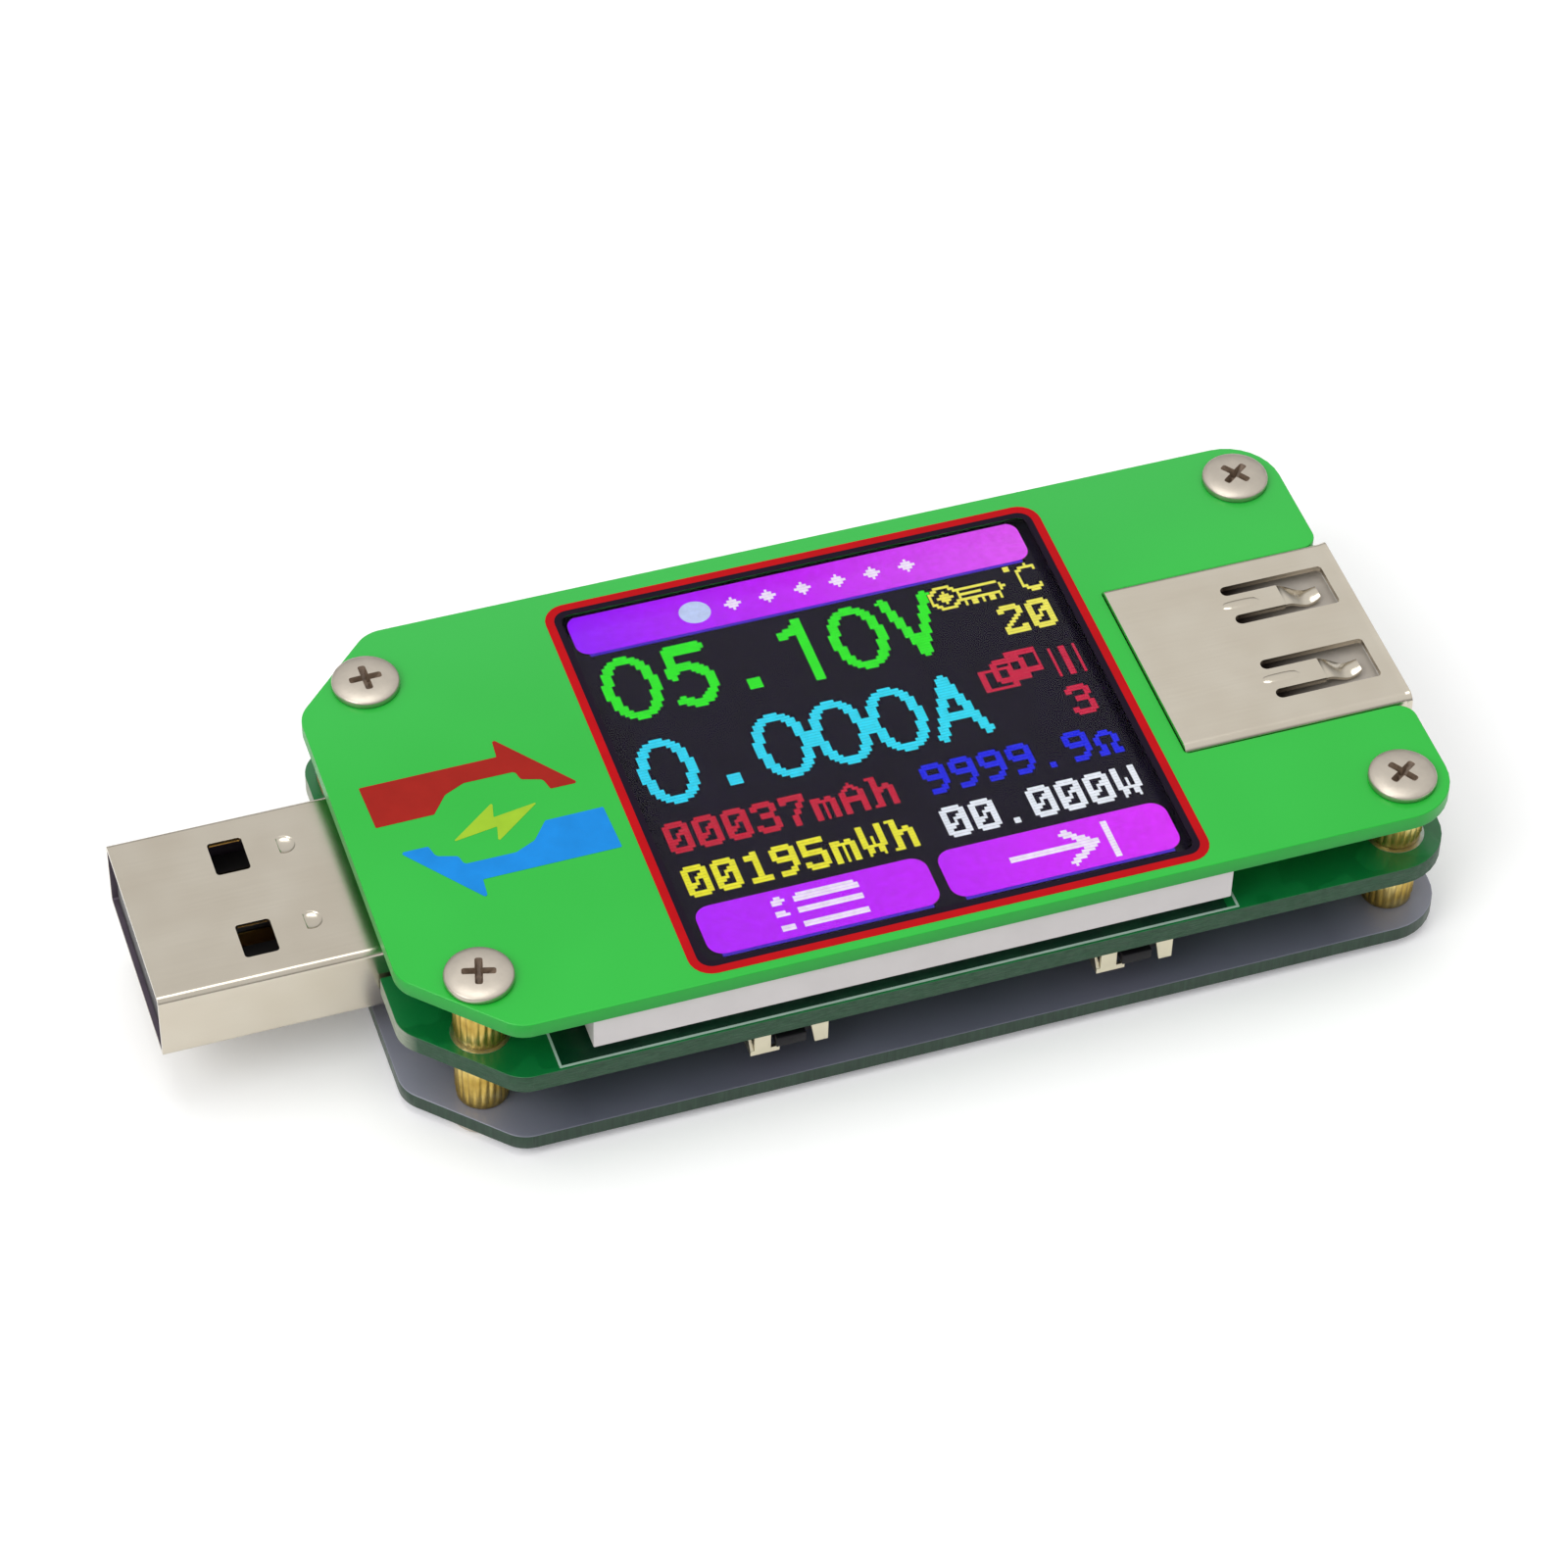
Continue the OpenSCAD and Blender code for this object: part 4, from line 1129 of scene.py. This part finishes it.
def small_font():
    """Pixels of each small sign, read from the rows of SMALL_ROWS."""
    font = {}
    for signs, rows in zip(SMALL_SIGNS.split(), SMALL_ROWS.strip().split("\n\n")):
        for row, line in enumerate(rows.split("\n")):
            for i, cell in enumerate(line.split()):
                marks = {(row + 2, col) for col, mark in enumerate(cell) if mark == "X"}
                font.setdefault(signs[i], set()).update(marks)
    return font


def write(signs, font, col, row, advance):
    return {(row + r, col + i * advance + c) for i, sign in enumerate(signs) for r, c in font[sign]}


def runs(lit):
    """Unbroken rows of pixels as (row, first column, last column + 1)."""
    found = []
    for row, col in sorted(lit):
        if found and found[-1][0] == row and found[-1][2] == col:
            found[-1] = (row, found[-1][1], col + 1)
        else:
            found.append((row, col, col + 1))
    return found


def lit_piece(name, mesh, material):
    extra("lit_" + name, mesh, material, "display_polariser")


def on_picture(col, row):
    """Place of a display pixel's corner."""
    return PICTURE_X + col * PITCH, PICTURE_Y - row * PITCH


def pixels(name, cells, material, lift=0.0):
    """One thin tile for each unbroken row of lit pixels."""
    tiles = []
    for row, first, last in runs(cells):
        x0, y1 = on_picture(first, row)
        x1, y0 = on_picture(last, row + 1)
        z = LIT_Z + lift
        tiles.append(block((x0 + 0.03, y0 + 0.01, z), (x1 - 0.03, y1 - 0.01, z + LIT_T)))
    lit_piece(name, joined(tiles), material)


def bar(name, col0, row0, col1, row1, r, colours):
    """Lit bar with round corners and a bluish line under it."""
    x0, y1 = on_picture(col0, row0)
    x1, y0 = on_picture(col1, row1)
    body = slab([rectangle(x0, y0, x1, y1, r)], LIT_Z, LIT_Z + LIT_T, 0.004)
    lit_piece(name, body, glowing(name + "_glow", colours, x0, x1))
    under = rectangle(x0 + 0.6, y0 - 0.2, x1 - 0.6, y0 + 0.3, 0.05)
    fringe = slab([under], LIT_Z - 0.004, LIT_Z + 0.006, 0.002)
    lit_piece(name + "_fringe", fringe, glowing(name + "_fringe_glow", [(60, 20, 190), (70, 30, 200)]))


def add_bars():
    bar("top_bar", -2, -2.2, 127.5, 12.6, 0.8, [(146, 14, 255), (196, 28, 250), (226, 84, 246)])
    bar("left_key", -1, 108.5, 62, 125.5, 0.9, [(176, 20, 255), (196, 24, 255)])
    bar("right_key", 65, 108.5, 128.5, 125.5, 0.9, [(190, 22, 255), (222, 40, 255)])
    white = glowing("mark_glow", [(240, 226, 252), (246, 236, 255)])
    reach = range(-2, 3)
    dots = {(5 + r, 43 + 10 * i + c) for i in range(6) for r in reach for c in reach if abs(r) + abs(c) < 3}
    pixels("dots", dots, white, 0.008)
    x, y = on_picture(32.7, 5.7)
    spot = slab([arc(x, y, 0.92, 0.86, 0, 345, 23)], LIT_Z, LIT_Z + LIT_T + 0.006, 0.003)
    lit_piece("spot", spot, glowing("spot_glow", [(190, 206, 246), (196, 212, 250)]))
    menu = [[(x0, row), (x1, row)] for row in (112.6, 117.3, 122) for x0, x1 in ((20, 21.5), (26, 42))]
    shaft, stop = [(84, 117.3), (106, 117.3)], [(111, 112), (111, 122.6)]
    tip = [(99.5, 112.2), (106.8, 117.3), (99.5, 122.4)]
    pixels("menu_icon", draw(menu, 2.3), white, 0.008)
    pixels("next_icon", draw([shaft, tip, stop], 2.3), white, 0.008)


def sheets_icon():
    """Three sheets behind one another, beside a tally of strokes."""
    strokes = []
    for i in range(3):
        x, y, tally = 99 + 4.2 * i, 50.5 - 2.3 * i, 119.5 + 3.4 * i
        strokes.append([(x, y), (x + 8, y), (x + 8, y + 7), (x, y + 7), (x, y)])
        strokes.append([(tally, 47.5), (tally, 57.5)])
    return draw(strokes, 1.5)


def thermometer():
    """Bulb at the left, tube to the right and a scale under it."""
    lit = draw([oval(99.5, 20.5, 3.9, 3.9)], 1.3) | draw([oval(99.5, 20.5, 0.6, 0.6)], 3.0)
    lit |= draw([[(103.5, 18.5), (114.5, 18.5), (116.2, 20.5), (114.5, 22.5), (103.5, 22.5)]], 1.2)
    lit |= draw([[(103.5, 20.3), (109.5, 20.3)]], 1.6)
    for i in range(5):
        lit |= draw([[(104.5 + 2.5 * i, 23.5), (104.5 + 2.5 * i, 24.5)]], 1.1)
    lit |= {(14, 118), (14, 119), (15, 118), (15, 119)}
    return lit | draw([arc(124.4, 19.6, 3, 4.6, 45, 315)], 1.4)


def add_readings():
    large, small = large_font(), small_font()
    rows = (
        ("volts", write("05.10V", large, 0, 12, 16), (38, 236, 26), (44, 240, 30)),
        ("amps", write("0.000A", large, 0, 44, 16), (40, 214, 246), (44, 226, 250)),
        ("charge", write("00037mAh", small, 0, 76, 8), (196, 22, 50), (204, 26, 62)),
        ("group", sheets_icon() | write("3", small, 118, 60, 8), (186, 20, 48), (206, 26, 66)),
        ("energy", write("00195mWh", small, 0, 92, 8), (238, 232, 40), (240, 234, 60)),
        ("heat", thermometer() | write("20", small, 111, 26, 8), (230, 220, 60), (244, 236, 90)),
        ("load", write("9999.9o", small, 71, 76, 8), (14, 22, 222), (18, 30, 236)),
        ("watts", write("00.000W", small, 71, 92, 8), (226, 232, 246), (240, 244, 252)))
    for name, cells, *tones in rows:
        pixels(name, cells, glowing(name + "_glow", tones))


def add_display():
    dotted = film_with_dots()
    refine_all(
        ("display_frame", plastic("frame_plastic", (200, 195, 195), 0.45, 0.03, 0.2), 0.07),
        ("display_polariser", panel_black(), 0.03),
        ("display_rear_glass", glass("rear_glass", (36, 40, 52), 0.12), 0.04),
        ("display_front_glass", glass("front_glass", (26, 28, 36), 0.1), 0.04),
        ("display_reflector", dotted, 0.02),
        ("display_light_guide", dotted, 0.03),
        ("display_leds", plastic("led_lens", (244, 236, 178), 0.35, 0.08, 0.3), 0.05),
        ("display_driver_chip", plastic("bare_silicon", (58, 58, 70), 0.19, 0.15, 0.3), 0.03),
        ("display_flex", flex_film(), 0.02),
        ("display_foam_pads", foam(), 0.05))
    add_bars()
    add_readings()


# ---- Switches, inlet and electronics ----

def add_switches():
    rubbed = {"rough": 0.5, "spread": 0.12, "grain": 0.12, "depth": 0.006, "Specular_IOR_Level": 0.2}
    spring = metal("switch_metal", (214, 206, 182), 0.34, 0.08, (0.5, 0.5, 0.06))
    refine_all(
        ("front_left_button front_right_button rear_left_button rear_right_button",
         plastic("key_black", (18, 16, 20), **rubbed), 0.07, 3),
        ("switch_housings", plastic("switch_black", (22, 20, 24), **rubbed), 0.05),
        ("switch_brackets", spring, 0.05),
        ("switch_domes", spring, 0.04),
        ("switch_terminals", solder(), 0.04))


def add_inlet():
    refine_all(
        ("micro_usb_shell", nickel(), 0.06, 3),
        ("micro_usb_insulator", plastic("inlet_plastic", (38, 38, 40), 0.45, 0.1), 0.04),
        ("micro_usb_contacts", CONTACT_GOLD, 0.02))


def end_caps(node, length):
    """Metal ends, a little proud, on both ends of each small block of a node."""
    parts = []
    for low, high in solids(node):
        axis = 0 if high.x - low.x >= high.y - low.y else 1
        for side in (0, 1):
            a, b = low - Vector((0.02,) * 3), high + Vector((0.02, 0.02, 0))
            if side:
                a[axis] = b[axis] - length
            else:
                b[axis] = a[axis] + length
            parts.append(block(a, b))
    return softened(joined(parts), 0.03, 2)


def add_electronics():
    tin = solder()
    refine_all(
        ("microcontroller power_mosfets voltage_regulator current_amplifier flash_memory temperature_sensor",
         plastic("chip_black", (34, 34, 36), 0.5, 0.12, 0.1, 0.006), 0.06),
        ("chip_leads", tin, 0.02),
        ("solder_joints", tin, 0.08, 3),
        ("current_shunt", plastic("shunt_black", (42, 42, 44), 0.45, 0.12), 0.06),
        ("inductor", plastic("ferrite", (76, 76, 78), 0.6, 0.14, 0.1, 0.01), 0.15, 3),
        ("crystal", metal("crystal_can", (204, 202, 196), 0.19, 0.06, (1.2, 0.1, 0.1)), 0.2, 3),
        ("ceramic_capacitors", ceramic(), 0.05),
        ("tantalum_capacitors", plastic("tantalum_yellow", (222, 176, 40), 0.4, 0.06), 0.1, 3),
        ("chip_resistors", plastic("resistor_black", (30, 30, 34), 0.36, 0.12), 0.03))
    caps = {"ceramic_capacitors": 0.35, "chip_resistors": 0.25, "tantalum_capacitors": 0.5}
    for node, length in caps.items():
        extra(node + "_ends", end_caps(node, length), tin, node)


# ---- Stage, light and camera ----

def add_stage():
    half = 3000
    corners = [(-half, -half, 0), (half, -half, 0), (half, half, 0), (-half, half, 0)]
    floor = from_faces(corners, [(0, 1, 2, 3)])
    floor.transform(Matrix.Scale(MM, 4))
    obj = linked(floor, "floor")
    floor.materials.append(floor_white())
    bpy.context.scene.view_settings.view_transform = "Standard"


def add_surround():
    """Even white surround that falls off towards the horizon."""
    world = bpy.context.scene.world = bpy.data.worlds.new("studio")
    graph = Graph(world)
    place = graph.add("ShaderNodeTexCoord").outputs["Generated"]
    split = graph.add("ShaderNodeSeparateXYZ", {0: place})
    height = graph.add("ShaderNodeMath", {0: split.outputs[2]}, operation="ABSOLUTE").outputs[0]
    sky = graph.nodes["Background"].inputs
    graph.feed(sky["Color"], graph.ramp(height, ((0, (0.15, 0.15, 0.15, 1)), (0.5, WHITE))))
    sky["Strength"].default_value = 0.86


def floor_white():
    """Pale back-lit table."""
    made = Surface("floor_white", Specular_IOR_Level=0.1, Emission_Strength=0.1, Emission_Color=(1, 1, 1, 1))
    made.mottled((0.93, 0.93, 0.93, 1), 60.0, 0.01)
    made.polish(0.6, 0.7, 40.0)
    return made.material


def add_light(name, place, target, size, power):
    obj = linked(configure(bpy.data.lights.new(name, "AREA"), shape="DISK", size=size, energy=power), name)
    obj.location = place
    obj.rotation_euler = (Vector(target) - Vector(place)).to_track_quat("-Z", "Y").to_euler()


def add_lights():
    add_light("key", (-0.05, 0.12, 0.68), (0, 0, 0), 0.42, 1.0)
    add_light("side", (-0.42, -0.2, 0.46), (0, 0, 0), 0.4, 1.4)


def add_camera():
    """Camera on the ray from its target at a heading and elevation, slightly rolled."""
    target = Vector((1.864, 1.717, 5.7)) * MM
    distance = 295.54 * MM
    heading, elevation, roll = (math.radians(a) for a in (19.547, 46.635, 1.657))
    back = Vector((-math.sin(heading) * math.cos(elevation), -math.cos(heading) * math.cos(elevation),
                   math.sin(elevation)))
    level = Vector((math.cos(heading), -math.sin(heading), 0))
    upright = back.cross(level)
    right = level * math.cos(roll) + upright * math.sin(roll)
    up = back.cross(right)
    camera = bpy.data.cameras.new("camera")
    obj = linked(configure(camera, lens=121.67, sensor_width=36, clip_start=0.01, clip_end=50), "camera")
    facing = Matrix((right, up, back)).transposed().to_4x4()
    obj.matrix_world = Matrix.Translation(target + back * distance) @ facing
    bpy.context.scene.camera = obj


CONTACT_GOLD = metal("contact_gold", (222, 176, 92), 0.19, 0.08, (1.5, 0.08, 0.3))

add_camera()
add_stage()
add_surround()
add_lights()
add_cover()
add_cover_prints()
add_board()
add_bottom()
add_standoffs()
add_screws()
add_plug()
add_socket()
add_display()
add_switches()
add_inlet()
add_electronics()

bpy.context.view_layer.update()
